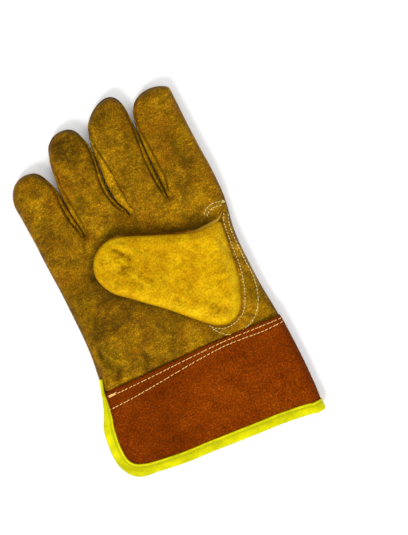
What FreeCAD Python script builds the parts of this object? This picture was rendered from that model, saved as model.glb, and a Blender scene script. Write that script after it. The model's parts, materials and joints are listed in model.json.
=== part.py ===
import FreeCAD, Part
import os

# Leather work glove, right hand, lying on its back with the palm side up and the
# thumb folded across the palm.  Millimetres.  +Z is the palm side, +Y runs to the
# fingertips, +X is the thumb side.  The origin is the centre of the footprint, on
# the surface the glove lies on.

# ---- driving dimensions -------------------------------------------------------
LEATHER = 1.3          # hand leather thickness
CUFF_LEATHER = 1.6     # split leather of the safety cuff
BINDING_T = 2.2        # folded binding tape over the cuff edge
FINGER_H = 16.0        # height of the finger tubes
BACK_Z = 0.8           # underside of the back panels, raised by the seam welts
PALM_TOP = 15.0        # top of the palm panel
CUFF_TOP = 15.0        # top of the cuff
PATCH_T = 1.2          # leather sewn on top of the palm round the thumb root
THUMB_Z0 = 15.4        # underside of the folded thumb
THUMB_Z1 = 28.0        # upper face of the folded thumb
GAP = 0.3              # running gap between neighbouring rigid sections
KNUCKLE_Y = 57.85      # bending line across the finger roots
INDEX_MID_Y = 92.5     # middle bending line of each finger
MIDDLE_MID_Y = 96.1
RING_MID_Y = 91.8
LITTLE_MID_Y = 83.2
WRIST_Y = -56.0        # bending line between hand and cuff
THREAD_W = 0.8         # width of the sewing thread lines
THREAD_H = 0.3
WELT_W = 2.2           # width of the raw seam welts on the back

# ---- outlines, (x, y) ---------------------------------------------------------
PALM_OUTLINE = [(-61.7, 57.7), (-60.0, 20.5), (-59.4, -15.5), (-60.8, -44.3), (-63.0, -55.8), (74.2, -55.8), (72.4, -42.8), (70.2, -29.9), (68.0, -15.5), (68.0, 2.5), (69.5, 14.8), (73.1, 26.3), (75.4, 36.4), (75.5, 57.7)]
SEAM_INDEX = [(40.0, 57.7), (47.2, 55.1), (54.4, 47.9), (54.4, 38.5), (50.8, 24.1), (48.6, 6.1), (47.5, -15.5), (47.2, -55.8)]
SEAM_RING = [(4.7, 57.7), (1.1, 51.5), (1.8, 43.6), (8.3, 31.3), (14.8, 20.5), (21.2, 6.1), (27.7, -8.3), (32.8, -26.3), (35.6, -55.8)]
LITTLE = [(-61.7, 58.0), (-63.0, 81.7), (-63.7, 92.5), (-61.6, 99.0), (-56.9, 105.5), (-52.2, 108.0), (-47.2, 108.7), (-42.1, 107.8), (-37.4, 105.1), (-33.5, 96.8), (-31.7, 90.7), (-30.6, 83.9), (-30.6, 58.0)]
RING = [(-28.6, 58.0), (-29.0, 92.5), (-27.4, 108.4), (-24.5, 118.4), (-21.2, 122.8), (-16.2, 125.6), (-11.2, 126.4), (-5.4, 125.1), (-1.1, 121.7), (1.4, 116.3), (2.8, 108.4), (3.1, 101.2), (1.8, 74.5), (1.7, 58.0)]
MIDDLE = [(5.0, 58.0), (4.5, 92.5), (4.9, 104.8), (6.1, 114.8), (9.0, 122.8), (14.0, 127.8), (21.2, 132.5), (28.4, 134.3), (33.5, 132.5), (37.1, 127.8), (38.5, 120.6), (38.7, 106.9), (38.1, 58.0)]
INDEX = [(40.1, 58.0), (40.4, 92.5), (40.7, 111.2), (42.1, 117.4), (45.7, 122.0), (51.5, 125.6), (58.7, 127.1), (67.0, 125.5), (72.4, 122.8), (73.3, 117.7), (73.8, 92.5), (75.2, 67.3), (75.5, 58.0)]
THUMB = [(70.2, 21.2), (62.3, 21.2), (54.4, 19.8), (45.0, 19.8), (36.4, 23.4), (25.6, 27.7), (12.6, 32.8), (0.4, 38.5), (-8.6, 41.4), (-17.6, 40.3), (-24.8, 36.4), (-30.2, 29.2), (-32.0, 20.5), (-29.2, 11.2), (-24.8, 4.0), (-17.6, -1.8), (-6.8, -11.9), (4.0, -21.2), (12.6, -29.9), (25.6, -42.8), (34.2, -48.2), (41.0, -49.3)]
THUMB_HOLE = [(61.6, 11.2), (44.3, 11.2), (31.3, -11.9), (25.6, -34.2), (40.0, -37.8)]
HEM_ROW = [(-59.4, -119.9), (-32.0, -122.4), (4.0, -123.8), (40.0, -126.4), (70.2, -130.3)]
THUMB_BASE = [(42.4, -49.3), (47.2, -47.9), (52.2, -42.8), (55.8, -35.6), (60.8, -26.3), (62.3, -15.5), (64.2, 0.4), (64.2, 4.0)]
THUMB_PATCH = [(68.1, 13.3), (69.0, 13.3), (67.9, 2.5), (67.8, -15.5), (69.9, -29.9), (66.6, -40.7), (61.6, -50.0), (52.2, -55.2), (41.4, -55.2), (33.5, -54.7), (28.4, -50.5), (42.0, -50.0), (47.6, -48.5), (52.8, -43.3), (56.4, -35.9), (61.4, -26.4), (62.9, -15.5), (64.9, 0.4), (65.0, 4.7)]
CUFF_FRONT = [(-63.0, -56.2), (-67.0, -62.3), (-67.2, -75.2), (-67.7, -96.8), (-67.7, -104.0), (-65.9, -110.9), (-60.8, -115.6), (-50.0, -117.7), (-14.0, -119.2), (40.0, -121.7), (74.2, -126.4), (76.0, -125.6), (76.7, -116.3), (76.7, -96.8), (76.0, -69.5), (74.5, -56.2)]
CUFF_BACK = [(-63.0, -56.2), (-66.2, -65.9), (-69.1, -76.0), (-70.9, -87.5), (-72.0, -96.1), (-72.0, -103.3), (-69.5, -109.1), (-64.4, -113.8), (-57.2, -116.3), (-50.0, -117.7), (-14.0, -119.2), (40.0, -121.7), (74.2, -126.4), (76.0, -125.6), (76.7, -116.3), (76.7, -96.8), (76.0, -69.5), (74.5, -56.2)]
CUFF_FOLD = [(74.5, -56.2), (76.0, -69.5), (76.7, -96.8), (76.7, -116.3), (76.0, -125.6)]
BIND_FRONT = [(-67.0, -66.6), (-70.2, -71.6), (-74.2, -79.6), (-76.0, -93.2), (-76.7, -101.9), (-75.2, -109.1), (-68.8, -117.0), (-59.0, -121.7), (-32.0, -125.6), (4.0, -127.8), (40.0, -130.0), (58.0, -131.4), (73.1, -134.3), (76.3, -133.9), (76.6, -125.6), (76.0, -125.6), (74.2, -126.4), (40.0, -121.7), (-14.0, -119.2), (-50.0, -117.7), (-60.8, -115.6), (-65.9, -110.9), (-67.7, -104.0), (-67.7, -96.8), (-67.2, -75.2)]
BIND_BACK = [(-67.0, -64.4), (-70.9, -70.2), (-74.5, -80.3), (-75.6, -93.2), (-76.7, -101.9), (-74.9, -109.1), (-68.0, -117.0), (-59.0, -121.7), (-32.0, -125.6), (4.0, -127.8), (40.0, -130.0), (58.0, -131.4), (73.1, -134.3), (76.3, -133.9), (76.6, -125.6), (76.0, -125.6), (74.2, -126.4), (40.0, -121.7), (-14.0, -119.2), (-50.0, -117.7), (-57.2, -116.3), (-64.4, -113.8), (-69.5, -109.1), (-72.0, -103.3), (-72.0, -96.1), (-70.9, -87.5), (-69.1, -76.0), (-66.3, -65.9)]
BIND_FOLD = [(73.1, -134.3), (76.3, -133.9), (76.6, -125.8), (75.3, -125.8), (75.1, -132.5), (73.1, -132.8)]
ROW_1 = [(-63.7, -60.1), (4.0, -59.4), (74.5, -60.1)]
ROW_2 = [(-65.9, -69.5), (-32.0, -67.3), (4.0, -63.7), (29.2, -62.6), (54.4, -65.2), (74.5, -64.4)]
THUMB_ROW_IN = [(68.9, 19.8), (67.0, 14.8), (66.5, -15.5), (64.4, -24.8), (60.1, -35.6), (56.5, -44.3), (52.2, -49.3), (43.6, -51.8), (34.2, -52.2)]
THUMB_ROW_OUT = [(68.8, 11.9), (67.3, -8.3), (68.8, -22.7), (68.0, -31.3), (65.2, -39.2), (60.8, -48.6), (52.2, -54.0), (41.4, -54.1), (34.2, -53.9)]
CROTCH_ROW_A = [(56.5, 32.0), (74.5, 31.3)]
CROTCH_ROW_B = [(56.5, 28.8), (73.1, 28.4)]
ROLLED_EDGE = [(0.4, 38.5), (12.6, 32.8), (25.6, 27.7), (36.4, 23.4), (45.0, 19.8), (54.4, 19.8), (62.3, 21.2)]
WELT_INDEX = [(47.2, 54.7), (54.4, 47.9), (54.4, 38.5), (50.8, 24.1), (48.6, 6.1), (47.5, -15.5), (47.2, -53.6)]
WELT_RING = [(1.4, 51.5), (2.1, 43.6), (8.3, 31.3), (14.8, 20.5), (21.2, 6.1), (27.7, -8.3), (32.8, -26.3), (35.4, -53.6)]
os.makedirs("parts", exist_ok=True)
V = FreeCAD.Vector
BIG = 400.0


def prism(points, z0, z1):
    """Closed outline raised from z0 to z1."""
    ring = [V(x, y, z0) for x, y in points]
    return Part.Face(Part.makePolygon(ring + ring[:1])).extrude(V(0, 0, z1 - z0))


def ribbon(path, left, right):
    """Outline of a strip that follows an open path, this wide on each side."""
    normals = []
    for (x0, y0), (x1, y1) in zip(path, path[1:]):
        d = V(x1 - x0, y1 - y0, 0)
        d.normalize()
        normals.append(V(-d.y, d.x, 0))
    sides = []
    for w in (left, -right):
        line = []
        for i, (x, y) in enumerate(path):
            if i == 0:
                n = normals[0]
            elif i == len(path) - 1:
                n = normals[-1]
            else:
                n = normals[i - 1] + normals[i]
                n = n * (2.0 / max(n.dot(n), 0.8))
            line.append((x + w * n.x, y + w * n.y))
        sides.append(line)
    return sides[0] + sides[1][::-1]


def strip(path, left, right, z0, z1):
    return prism(ribbon(path, left, right), z0, z1)


def slab(shape, y0, y1):
    """The part of a shape between two planes across the glove."""
    return shape.common(Part.makeBox(2 * BIG, y1 - y0, 2 * BIG, V(-BIG, y0, -BIG)))


def side(shape, x0, x1):
    return shape.common(Part.makeBox(x1 - x0, 2 * BIG, 2 * BIG, V(x0, -BIG, -BIG)))


def save(name, *shapes):
    solids = [s for shape in shapes for s in shape.Solids]
    out = solids[0] if len(solids) == 1 else Part.makeCompound(solids)
    out.exportStep("parts/%s.step" % name)


def joined(*shapes):
    out = shapes[0]
    for s in shapes[1:]:
        out = out.fuse(s)
    return out.removeSplitter()


# ---- fingers ------------------------------------------------------------------
# Each finger is a front panel, a back panel and the side strips (fourchettes)
# between them, cut at the middle bending line.
def finger(name, outline, mid, front_side=None, back_side=None):
    front = prism(outline, FINGER_H - LEATHER, FINGER_H)
    back = prism(outline, 0, LEATHER)
    walls = strip(outline, 0, LEATHER, LEATHER, FINGER_H - LEATHER)
    low, high = KNUCKLE_Y + GAP / 2, max(p[1] for p in outline) + 1
    for part, y0, y1 in (("proximal", low, mid - GAP / 2), ("distal", mid + GAP / 2, high)):
        f, b, w = slab(front, y0, y1), slab(back, y0, y1), slab(walls, y0, y1)
        if front_side:
            f = joined(f, side(w, *front_side))
            w = w.cut(Part.makeBox(front_side[1] - front_side[0], 2 * BIG, 2 * BIG, V(front_side[0], -BIG, -BIG)))
        if back_side:
            b = joined(b, side(w, *back_side))
            w = w.cut(Part.makeBox(back_side[1] - back_side[0], 2 * BIG, 2 * BIG, V(back_side[0], -BIG, -BIG)))
        save("%s_front_%s" % (name, part), f)
        save("%s_back_%s" % (name, part), b)
        save("%s_fourchette_%s" % (name, part), w)


# the index front panel is folded round the outer side of the finger
finger("index", INDEX, INDEX_MID_Y, front_side=(70.2, BIG))
finger("middle", MIDDLE, MIDDLE_MID_Y)
finger("ring", RING, RING_MID_Y)
# the back panel of the little finger is turned over its outer side
finger("little", LITTLE, LITTLE_MID_Y, back_side=(-BIG, -58.8))

# ---- palm and back of the hand -------------------------------------------------
left_path = PALM_OUTLINE[:5]
right_path = PALM_OUTLINE[5:]
wall_z = (BACK_Z + LEATHER, PALM_TOP - LEATHER)

palm = prism(PALM_OUTLINE, PALM_TOP - LEATHER, PALM_TOP)
palm = palm.cut(prism(THUMB_HOLE, PALM_TOP - 2 * LEATHER, PALM_TOP + 1))
palm = joined(palm, strip(right_path, LEATHER, 0, *wall_z))
save("palm_panel", palm)

back = prism(PALM_OUTLINE, BACK_Z, BACK_Z + LEATHER)
index_area = prism(SEAM_INDEX + [(47.2, -90.0), (120.0, -90.0), (120.0, 90.0), (40.0, 90.0)], -1, 5)
ring_area = prism(SEAM_RING + [(35.6, -90.0), (-120.0, -90.0), (-120.0, 90.0), (4.7, 90.0)], -1, 5)
save("back_panel_index", back.common(index_area))
save("back_panel_middle", back.cut(index_area).cut(ring_area))
little_wall = strip(left_path, LEATHER, 0, *wall_z)
save("back_panel_ring_little", joined(back.common(ring_area), little_wall))

# raw welts of the two back seams, standing out of the back of the hand
save("back_seam_welt_index", strip(WELT_INDEX, WELT_W / 2, WELT_W / 2, 0, BACK_Z))
save("back_seam_welt_ring", strip(WELT_RING, WELT_W / 2, WELT_W / 2, 0, BACK_Z))
inward = 2.4
thread_a = ribbon(WELT_INDEX, -inward + THREAD_W / 2, inward + THREAD_W / 2)
thread_b = ribbon(WELT_RING, inward + THREAD_W / 2, -inward + THREAD_W / 2)
save("back_seam_thread", prism(thread_a, BACK_Z - THREAD_H, BACK_Z), prism(thread_b, BACK_Z - THREAD_H, BACK_Z))

# crotch pieces of the fourchettes, closing the palm between the finger roots
crotch_y = KNUCKLE_Y - GAP / 2
for name, x0, x1 in (("index_middle", 37.6, 40.6), ("middle_ring", 1.2, 5.4), ("ring_little", -31.2, -28.0)):
    block = Part.makeBox(x1 - x0, 2.4, wall_z[1] - wall_z[0], V(x0, crotch_y - 2.4, wall_z[0]))
    save("crotch_fourchette_%s" % name, block)

# ---- root of the thumb on the palm ---------------------------------------------
save("thumb_base_panel", prism(THUMB_BASE, PALM_TOP, PALM_TOP + PATCH_T))
save("thumb_base_patch", prism(THUMB_PATCH, PALM_TOP, PALM_TOP + PATCH_T))
top = PALM_TOP + PATCH_T
save("thumb_seam_thread", strip(THUMB_ROW_OUT, THREAD_W / 2, THREAD_W / 2, top, top + 0.15))
save(
    "crotch_thread",
    strip(CROTCH_ROW_A, THREAD_W / 2, THREAD_W / 2, PALM_TOP, PALM_TOP + THREAD_H),
)

# ---- thumb, folded across the palm ----------------------------------------------
inner = prism(THUMB, THUMB_Z0, THUMB_Z0 + LEATHER)
inner = inner.cut(prism(THUMB_HOLE, THUMB_Z0 - 1, THUMB_Z0 + 2 * LEATHER))
save("thumb_inner_panel", inner)
save("thumb_outer_panel", prism(THUMB, THUMB_Z1 - LEATHER, THUMB_Z1))
save("thumb_side_strip", strip(THUMB, LEATHER, 0, THUMB_Z0 + LEATHER, THUMB_Z1 - LEATHER))
save("thumb_rolled_seam", strip(ROLLED_EDGE, 1.6, 0, THUMB_Z1 - 4.0, THUMB_Z1))

# ---- safety cuff -------------------------------------------------------------------
front = prism(CUFF_FRONT, CUFF_TOP - CUFF_LEATHER, CUFF_TOP)
rear = prism(CUFF_BACK, BACK_Z, BACK_Z + CUFF_LEATHER)
fold = strip(CUFF_FOLD, 0, CUFF_LEATHER, BACK_Z + CUFF_LEATHER, CUFF_TOP - CUFF_LEATHER)
save("cuff_panel", joined(front, rear, fold))

tape_top = CUFF_TOP + 0.2
tape_front = prism(BIND_FRONT, tape_top - BINDING_T, tape_top)
tape_back = prism(BIND_BACK, BACK_Z - 0.2, BACK_Z - 0.2 + BINDING_T)
tape_fold = prism(BIND_FOLD, BACK_Z - 0.2 + BINDING_T, tape_top - BINDING_T)
save("cuff_binding", joined(tape_front, tape_back, tape_fold))

rows = []
for row in (ROW_1, ROW_2):
    rows.append(strip(row, THREAD_W / 2, THREAD_W / 2, CUFF_TOP, CUFF_TOP + 0.15))
    rows.append(strip(row, THREAD_W / 2, THREAD_W / 2, BACK_Z - THREAD_H, BACK_Z))
save("cuff_seam_thread", *rows)
save("binding_thread", strip(HEM_ROW, THREAD_W / 2, THREAD_W / 2, tape_top, tape_top + 0.15))
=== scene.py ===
import sys
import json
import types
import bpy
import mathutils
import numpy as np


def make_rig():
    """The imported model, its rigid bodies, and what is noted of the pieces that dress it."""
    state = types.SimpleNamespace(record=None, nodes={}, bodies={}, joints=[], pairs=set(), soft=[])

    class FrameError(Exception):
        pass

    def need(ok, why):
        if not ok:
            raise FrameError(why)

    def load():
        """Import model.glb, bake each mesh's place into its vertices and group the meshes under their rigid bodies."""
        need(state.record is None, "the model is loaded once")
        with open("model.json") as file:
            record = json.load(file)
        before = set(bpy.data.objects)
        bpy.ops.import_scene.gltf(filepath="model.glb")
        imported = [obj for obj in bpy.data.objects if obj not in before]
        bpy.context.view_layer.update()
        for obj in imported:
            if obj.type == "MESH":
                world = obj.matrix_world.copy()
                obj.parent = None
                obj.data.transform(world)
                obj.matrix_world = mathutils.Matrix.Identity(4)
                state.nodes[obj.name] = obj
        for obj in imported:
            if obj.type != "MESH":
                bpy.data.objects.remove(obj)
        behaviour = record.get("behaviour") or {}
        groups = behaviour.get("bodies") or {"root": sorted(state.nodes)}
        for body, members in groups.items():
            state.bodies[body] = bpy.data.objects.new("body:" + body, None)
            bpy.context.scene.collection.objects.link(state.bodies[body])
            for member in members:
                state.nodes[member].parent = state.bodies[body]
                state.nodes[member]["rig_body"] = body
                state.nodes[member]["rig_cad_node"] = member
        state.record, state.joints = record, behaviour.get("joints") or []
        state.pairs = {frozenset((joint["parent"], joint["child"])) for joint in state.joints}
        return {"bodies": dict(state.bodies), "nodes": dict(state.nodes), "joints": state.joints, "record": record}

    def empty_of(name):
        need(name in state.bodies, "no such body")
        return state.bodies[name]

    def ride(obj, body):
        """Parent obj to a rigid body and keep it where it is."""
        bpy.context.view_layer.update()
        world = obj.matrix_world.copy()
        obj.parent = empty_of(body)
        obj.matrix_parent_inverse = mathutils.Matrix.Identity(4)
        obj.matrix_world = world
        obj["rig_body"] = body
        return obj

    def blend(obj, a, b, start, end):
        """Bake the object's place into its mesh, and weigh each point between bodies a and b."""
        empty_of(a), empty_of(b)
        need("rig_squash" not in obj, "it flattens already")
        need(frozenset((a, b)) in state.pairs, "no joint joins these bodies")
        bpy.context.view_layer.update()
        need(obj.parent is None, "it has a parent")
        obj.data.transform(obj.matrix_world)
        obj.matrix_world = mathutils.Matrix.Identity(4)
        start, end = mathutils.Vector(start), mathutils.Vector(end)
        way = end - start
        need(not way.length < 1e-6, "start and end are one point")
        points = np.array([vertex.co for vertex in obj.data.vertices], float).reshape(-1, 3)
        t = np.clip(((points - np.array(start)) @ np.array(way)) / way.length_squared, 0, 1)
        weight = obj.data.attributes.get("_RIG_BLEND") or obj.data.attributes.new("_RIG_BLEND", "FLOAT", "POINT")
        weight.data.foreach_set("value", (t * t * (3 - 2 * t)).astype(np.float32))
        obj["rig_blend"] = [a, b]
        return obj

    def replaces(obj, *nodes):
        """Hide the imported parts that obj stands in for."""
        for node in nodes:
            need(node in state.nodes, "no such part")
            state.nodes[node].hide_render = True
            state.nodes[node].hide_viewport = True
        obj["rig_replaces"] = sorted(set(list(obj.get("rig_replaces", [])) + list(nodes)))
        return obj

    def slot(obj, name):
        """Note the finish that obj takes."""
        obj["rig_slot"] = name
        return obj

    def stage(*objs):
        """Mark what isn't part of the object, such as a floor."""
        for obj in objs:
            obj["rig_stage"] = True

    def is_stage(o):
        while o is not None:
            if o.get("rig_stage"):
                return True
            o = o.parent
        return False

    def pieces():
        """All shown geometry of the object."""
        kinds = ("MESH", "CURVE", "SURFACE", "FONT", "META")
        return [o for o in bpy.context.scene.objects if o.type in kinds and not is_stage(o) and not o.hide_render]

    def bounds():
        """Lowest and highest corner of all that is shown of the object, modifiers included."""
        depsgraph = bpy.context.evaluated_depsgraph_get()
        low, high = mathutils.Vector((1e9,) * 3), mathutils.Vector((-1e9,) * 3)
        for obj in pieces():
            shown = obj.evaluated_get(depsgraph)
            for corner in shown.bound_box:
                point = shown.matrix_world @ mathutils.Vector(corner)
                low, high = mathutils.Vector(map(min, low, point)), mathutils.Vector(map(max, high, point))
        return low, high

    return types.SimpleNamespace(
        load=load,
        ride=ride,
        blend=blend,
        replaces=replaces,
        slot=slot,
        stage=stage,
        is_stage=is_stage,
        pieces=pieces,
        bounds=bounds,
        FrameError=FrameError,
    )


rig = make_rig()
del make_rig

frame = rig.load()
cad_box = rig.bounds()

import json
import math

import bpy
import numpy as np
from mathutils import Vector
from mathutils.kdtree import KDTree

# Leather work glove: right hand, on its back, palm up, thumb folded over the palm.
# All outlines are in millimetres in the row frame, (x, y).

MM = 0.001
rng = np.random.RandomState(7)
LITTLE = [(-61.6, 51.5), (-61.7, 58.0), (-62.4, 70.9), (-63.1, 81.7), (-63.7, 92.5), (-61.9, 99.0), (-59.4, 103.3), (-56.5, 106.1), (-52.2, 108.1), (-47.9, 108.8), (-42.1, 107.9), (-38.5, 105.6), (-36.0, 101.9), (-33.8, 96.8), (-32.2, 90.7), (-31.5, 83.9), (-31.0, 76.7), (-29.9, 66.6), (-28.2, 56.5), (-27.4, 53.6), (-27.4, 51.5)]
RING = [(-27.4, 51.5), (-27.4, 53.6), (-27.0, 56.5), (-28.7, 66.6), (-29.4, 78.1), (-29.4, 92.5), (-27.7, 108.4), (-25.9, 114.8), (-23.8, 119.9), (-20.9, 123.1), (-16.9, 125.5), (-11.2, 126.5), (-5.4, 125.4), (-1.8, 122.8), (0.5, 118.4), (2.1, 112.7), (2.8, 105.5), (2.2, 96.8), (0.8, 83.9), (0.5, 73.8), (2.8, 62.3), (7.1, 54.0), (8.1, 51.5)]
MIDDLE = [(8.1, 51.5), (8.7, 54.0), (5.4, 62.3), (3.7, 72.4), (4.0, 83.9), (4.5, 95.4), (4.8, 104.8), (6.0, 114.1), (8.4, 121.7), (13.3, 127.4), (20.5, 132.3), (28.4, 134.4), (33.5, 132.7), (36.6, 128.2), (38.2, 121.3), (38.2, 111.2), (37.4, 96.8), (36.8, 82.4), (36.9, 66.6), (37.9, 57.2), (38.5, 55.1), (38.5, 51.5)]
INDEX = [(38.5, 51.5), (38.5, 55.1), (39.2, 57.2), (39.7, 66.6), (39.5, 82.4), (39.8, 96.8), (40.5, 108.4), (41.7, 115.6), (44.6, 121.3), (49.3, 125.1), (54.4, 126.8), (60.1, 127.2), (65.9, 126.1), (70.2, 124.2), (72.5, 122.5), (73.2, 119.9), (73.4, 114.1), (73.8, 92.5), (75.0, 67.3), (75.7, 56.5), (75.8, 51.5)]
PALM_L = [(-65.9, -80.3), (-64.8, -65.9), (-63.4, -55.8), (-61.7, -44.3), (-60.0, -29.9), (-59.4, -15.5), (-59.6, 2.5), (-60.0, 20.5), (-61.0, 38.5), (-61.6, 51.5)]
PALM_R = [(75.2, -80.3), (74.9, -65.9), (74.5, -57.2), (73.0, -42.8), (71.9, -29.9), (71.4, -15.5), (71.2, 2.5), (72.3, 14.8), (74.2, 25.6), (75.4, 33.5), (75.8, 42.1), (75.8, 51.5)]
THUMB = [(65.2, 18.4), (62.3, 20.2), (54.4, 19.8), (45.0, 20.2), (36.4, 23.0), (25.6, 27.4), (12.6, 32.8), (0.4, 37.8), (-8.6, 40.7), (-17.6, 39.8), (-24.8, 36.0), (-29.9, 29.2), (-32.0, 20.5), (-29.5, 11.2), (-24.8, 4.0), (-17.6, -2.2), (-6.8, -11.9), (4.0, -21.2), (12.6, -29.9), (19.8, -37.1), (26.3, -43.6), (32.8, -47.9), (39.2, -49.5), (45.7, -48.0), (51.5, -43.6), (55.8, -36.0), (59.4, -27.0), (61.6, -15.5), (63.4, 0.4), (64.8, 11.9)]
THUMB_BASE_LINE = [(65.2, 18.4), (64.8, 11.9), (63.4, 0.4), (61.6, -15.5), (59.4, -27.0), (55.8, -36.0), (51.5, -43.6), (45.7, -48.0), (39.2, -49.5), (32.8, -47.9), (27.0, -43.9)]
PATCH_OUT = [(74.2, 29.2), (71.3, 16.9), (70.6, 6.1), (70.5, -4.7), (70.8, -15.5), (71.2, -24.1), (70.1, -34.2), (67.3, -42.8), (63.0, -50.4), (57.6, -55.4), (51.5, -58.1), (42.8, -59.5), (35.6, -58.0), (29.9, -53.6), (24.8, -46.4)]
ROW_IN = [(70.2, 24.1), (67.3, 18.4), (66.2, 10.4), (65.2, -1.1), (64.3, -14.0), (62.3, -24.5), (59.0, -34.6), (55.1, -42.5), (50.0, -48.2), (43.6, -50.9), (36.4, -51.3), (29.9, -48.7), (25.6, -44.3)]
ROW_OUT = [(72.7, 22.7), (69.8, 13.3), (69.2, 0.4), (69.2, -14.0), (69.6, -25.6), (68.5, -34.2), (65.9, -42.1), (61.6, -49.3), (56.2, -54.2), (50.0, -57.0), (42.1, -58.2), (36.0, -56.5), (31.0, -52.6), (27.0, -47.2)]
CROTCH_A = [(55.8, 27.4), (58.7, 30.6), (63.7, 32.8), (69.5, 32.4), (74.2, 31.0)]
CROTCH_B = [(57.2, 25.6), (60.1, 28.4), (64.4, 30.0), (69.5, 29.6), (73.4, 28.4)]
LIP = [(-13.3, 41.1), (-8.3, 41.1), (0.4, 38.7), (12.6, 33.6), (25.6, 28.3), (36.4, 23.8), (45.0, 21.0), (54.4, 20.1), (62.3, 21.0), (68.8, 24.8)]
CUFF_T = [(-63.4, -56.4), (-39.2, -56.8), (4.0, -56.7), (32.8, -57.2), (54.4, -58.3), (75.4, -59.4)]
CUFF_L = [(-63.4, -56.4), (-65.5, -60.8), (-67.7, -67.3), (-70.2, -73.1), (-73.4, -79.6), (-75.0, -87.5), (-75.8, -96.1), (-75.5, -104.8), (-73.8, -111.2)]
CUFF_B = [(-73.8, -111.2), (-70.6, -115.9), (-65.9, -119.4), (-59.0, -121.8), (-50.0, -123.3), (-32.0, -125.6), (4.0, -127.8), (40.0, -130.0), (58.0, -131.7), (68.8, -133.3), (75.7, -134.3)]
CUFF_R = [(75.4, -59.4), (76.1, -69.5), (76.8, -87.5), (77.0, -101.9), (76.8, -116.3), (76.2, -126.4), (75.7, -134.3)]
CUFF_ROW_1 = [(-60.8, -60.5), (-32.0, -60.4), (4.0, -59.7), (32.8, -59.5), (54.4, -60.7), (75.0, -61.8)]
CUFF_ROW_2 = [(-66.2, -69.1), (-46.4, -68.3), (-32.0, -67.2), (-10.4, -65.2), (4.0, -63.9), (29.2, -62.6), (43.6, -63.4), (58.0, -64.7), (75.5, -64.6)]
SEAM_A = [(45.0, 54.7), (51.5, 51.5), (54.8, 46.4), (54.4, 38.5), (51.5, 25.6), (48.9, 6.1), (47.5, -15.5), (47.2, -37.1), (47.2, -55.8), (47.2, -65.9)]
SEAM_B = [(6.5, 55.8), (1.5, 51.8), (1.8, 43.6), (8.0, 31.3), (14.5, 20.5), (21.2, 6.1), (27.7, -8.3), (32.8, -26.3), (34.9, -44.3), (35.6, -55.8), (35.6, -65.9)]

A = {k: np.array(v, float) for k, v in list(globals().items()) if isinstance(v, list) and k.isupper() and v and isinstance(v[0], tuple)}

KNUCKLE_Y, WRIST_Y = 57.85, -56.0
Y_C = 51.48            # line where the finger pieces start, just short of the crotches
MID = {"index": 92.5, "middle": 96.1, "ring": 91.8, "little": 83.2}
SPLIT = {"index": 76.0, "middle": 78.0, "ring": 76.0, "little": 71.5}
ZS = 7.0               # height of the side line where palm side and back meet


# ---------------------------------------------------------------- small helpers
def resample(pts, n, closed=False):
    """n points evenly spaced on a smooth line through pts."""
    p = np.asarray(pts, float)
    if closed:
        q = np.vstack([p[-1:], p, p[:2]])
    else:
        q = np.vstack([2 * p[0] - p[1], p, 2 * p[-1] - p[-2]])
    out = []
    for i in range(1, len(q) - 2):
        a, b, c, d = q[i - 1], q[i], q[i + 1], q[i + 2]
        la, lb, lc = (max(np.linalg.norm(v), 1e-6) ** 0.5 for v in (b - a, c - b, d - c))
        t0, t1, t2, t3 = 0.0, la, la + lb, la + lb + lc
        for t in np.linspace(t1, t2, 24, endpoint=False):
            A1 = (t1 - t) / (t1 - t0) * a + (t - t0) / (t1 - t0) * b
            A2 = (t2 - t) / (t2 - t1) * b + (t - t1) / (t2 - t1) * c
            A3 = (t3 - t) / (t3 - t2) * c + (t - t2) / (t3 - t2) * d
            B1 = (t2 - t) / (t2 - t0) * A1 + (t - t0) / (t2 - t0) * A2
            B2 = (t3 - t) / (t3 - t1) * A2 + (t - t1) / (t3 - t1) * A3
            out.append((t2 - t) / (t2 - t1) * B1 + (t - t1) / (t2 - t1) * B2)
    out.append(q[-2] if not closed else p[0])
    out = np.array(out)
    s = np.r_[0, np.cumsum(np.linalg.norm(np.diff(out, axis=0), axis=1))]
    u = np.linspace(0, s[-1], n + (1 if closed else 0))
    r = np.stack([np.interp(u, s, out[:, k]) for k in range(p.shape[1])], 1)
    return r[:-1] if closed else r


TREES = {}


def dist_line(P, line, closed=False):
    """Distance of each point to a polyline, in the plane."""
    P = np.asarray(P, float).reshape(-1, 2)
    L = np.asarray(line, float)
    if closed:
        L = np.vstack([L, L[:1]])
    key = L.tobytes()
    if key not in TREES:
        s = np.r_[0, np.cumsum(np.linalg.norm(np.diff(L, axis=0), axis=1))]
        u = np.union1d(s, np.arange(0, s[-1], 0.5))
        D = np.stack([np.interp(u, s, L[:, 0]), np.interp(u, s, L[:, 1])], 1)
        tree = KDTree(len(D))
        for i, (x, y) in enumerate(D):
            tree.insert((x, y, 0), i)
        tree.balance()
        TREES[key] = (D, tree)
    D, tree = TREES[key]
    Q, inv = np.unique(np.round(P, 6), axis=0, return_inverse=True)
    near = np.array([tree.find((x, y, 0))[1] for x, y in Q.tolist()])
    best = np.full(len(Q), 1e9)
    for k in (-1, 0):
        i = np.clip(near + k, 0, len(D) - 2)
        a, d = D[i], D[i + 1] - D[i]
        t = np.clip(((Q - a) * d).sum(1) / np.maximum((d ** 2).sum(1), 1e-12), 0, 1)
        best = np.minimum(best, np.linalg.norm(Q - a - t[:, None] * d, axis=1))
    return best[np.asarray(inv).reshape(-1)]


def smooth01(x):
    x = np.clip(x, 0, 1)
    return x * x * (3 - 2 * x)


def dome(r, p=2.2):
    r = np.clip(r, 0, 1)
    return (1 - (1 - r) ** p) ** (1 / p)


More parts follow.
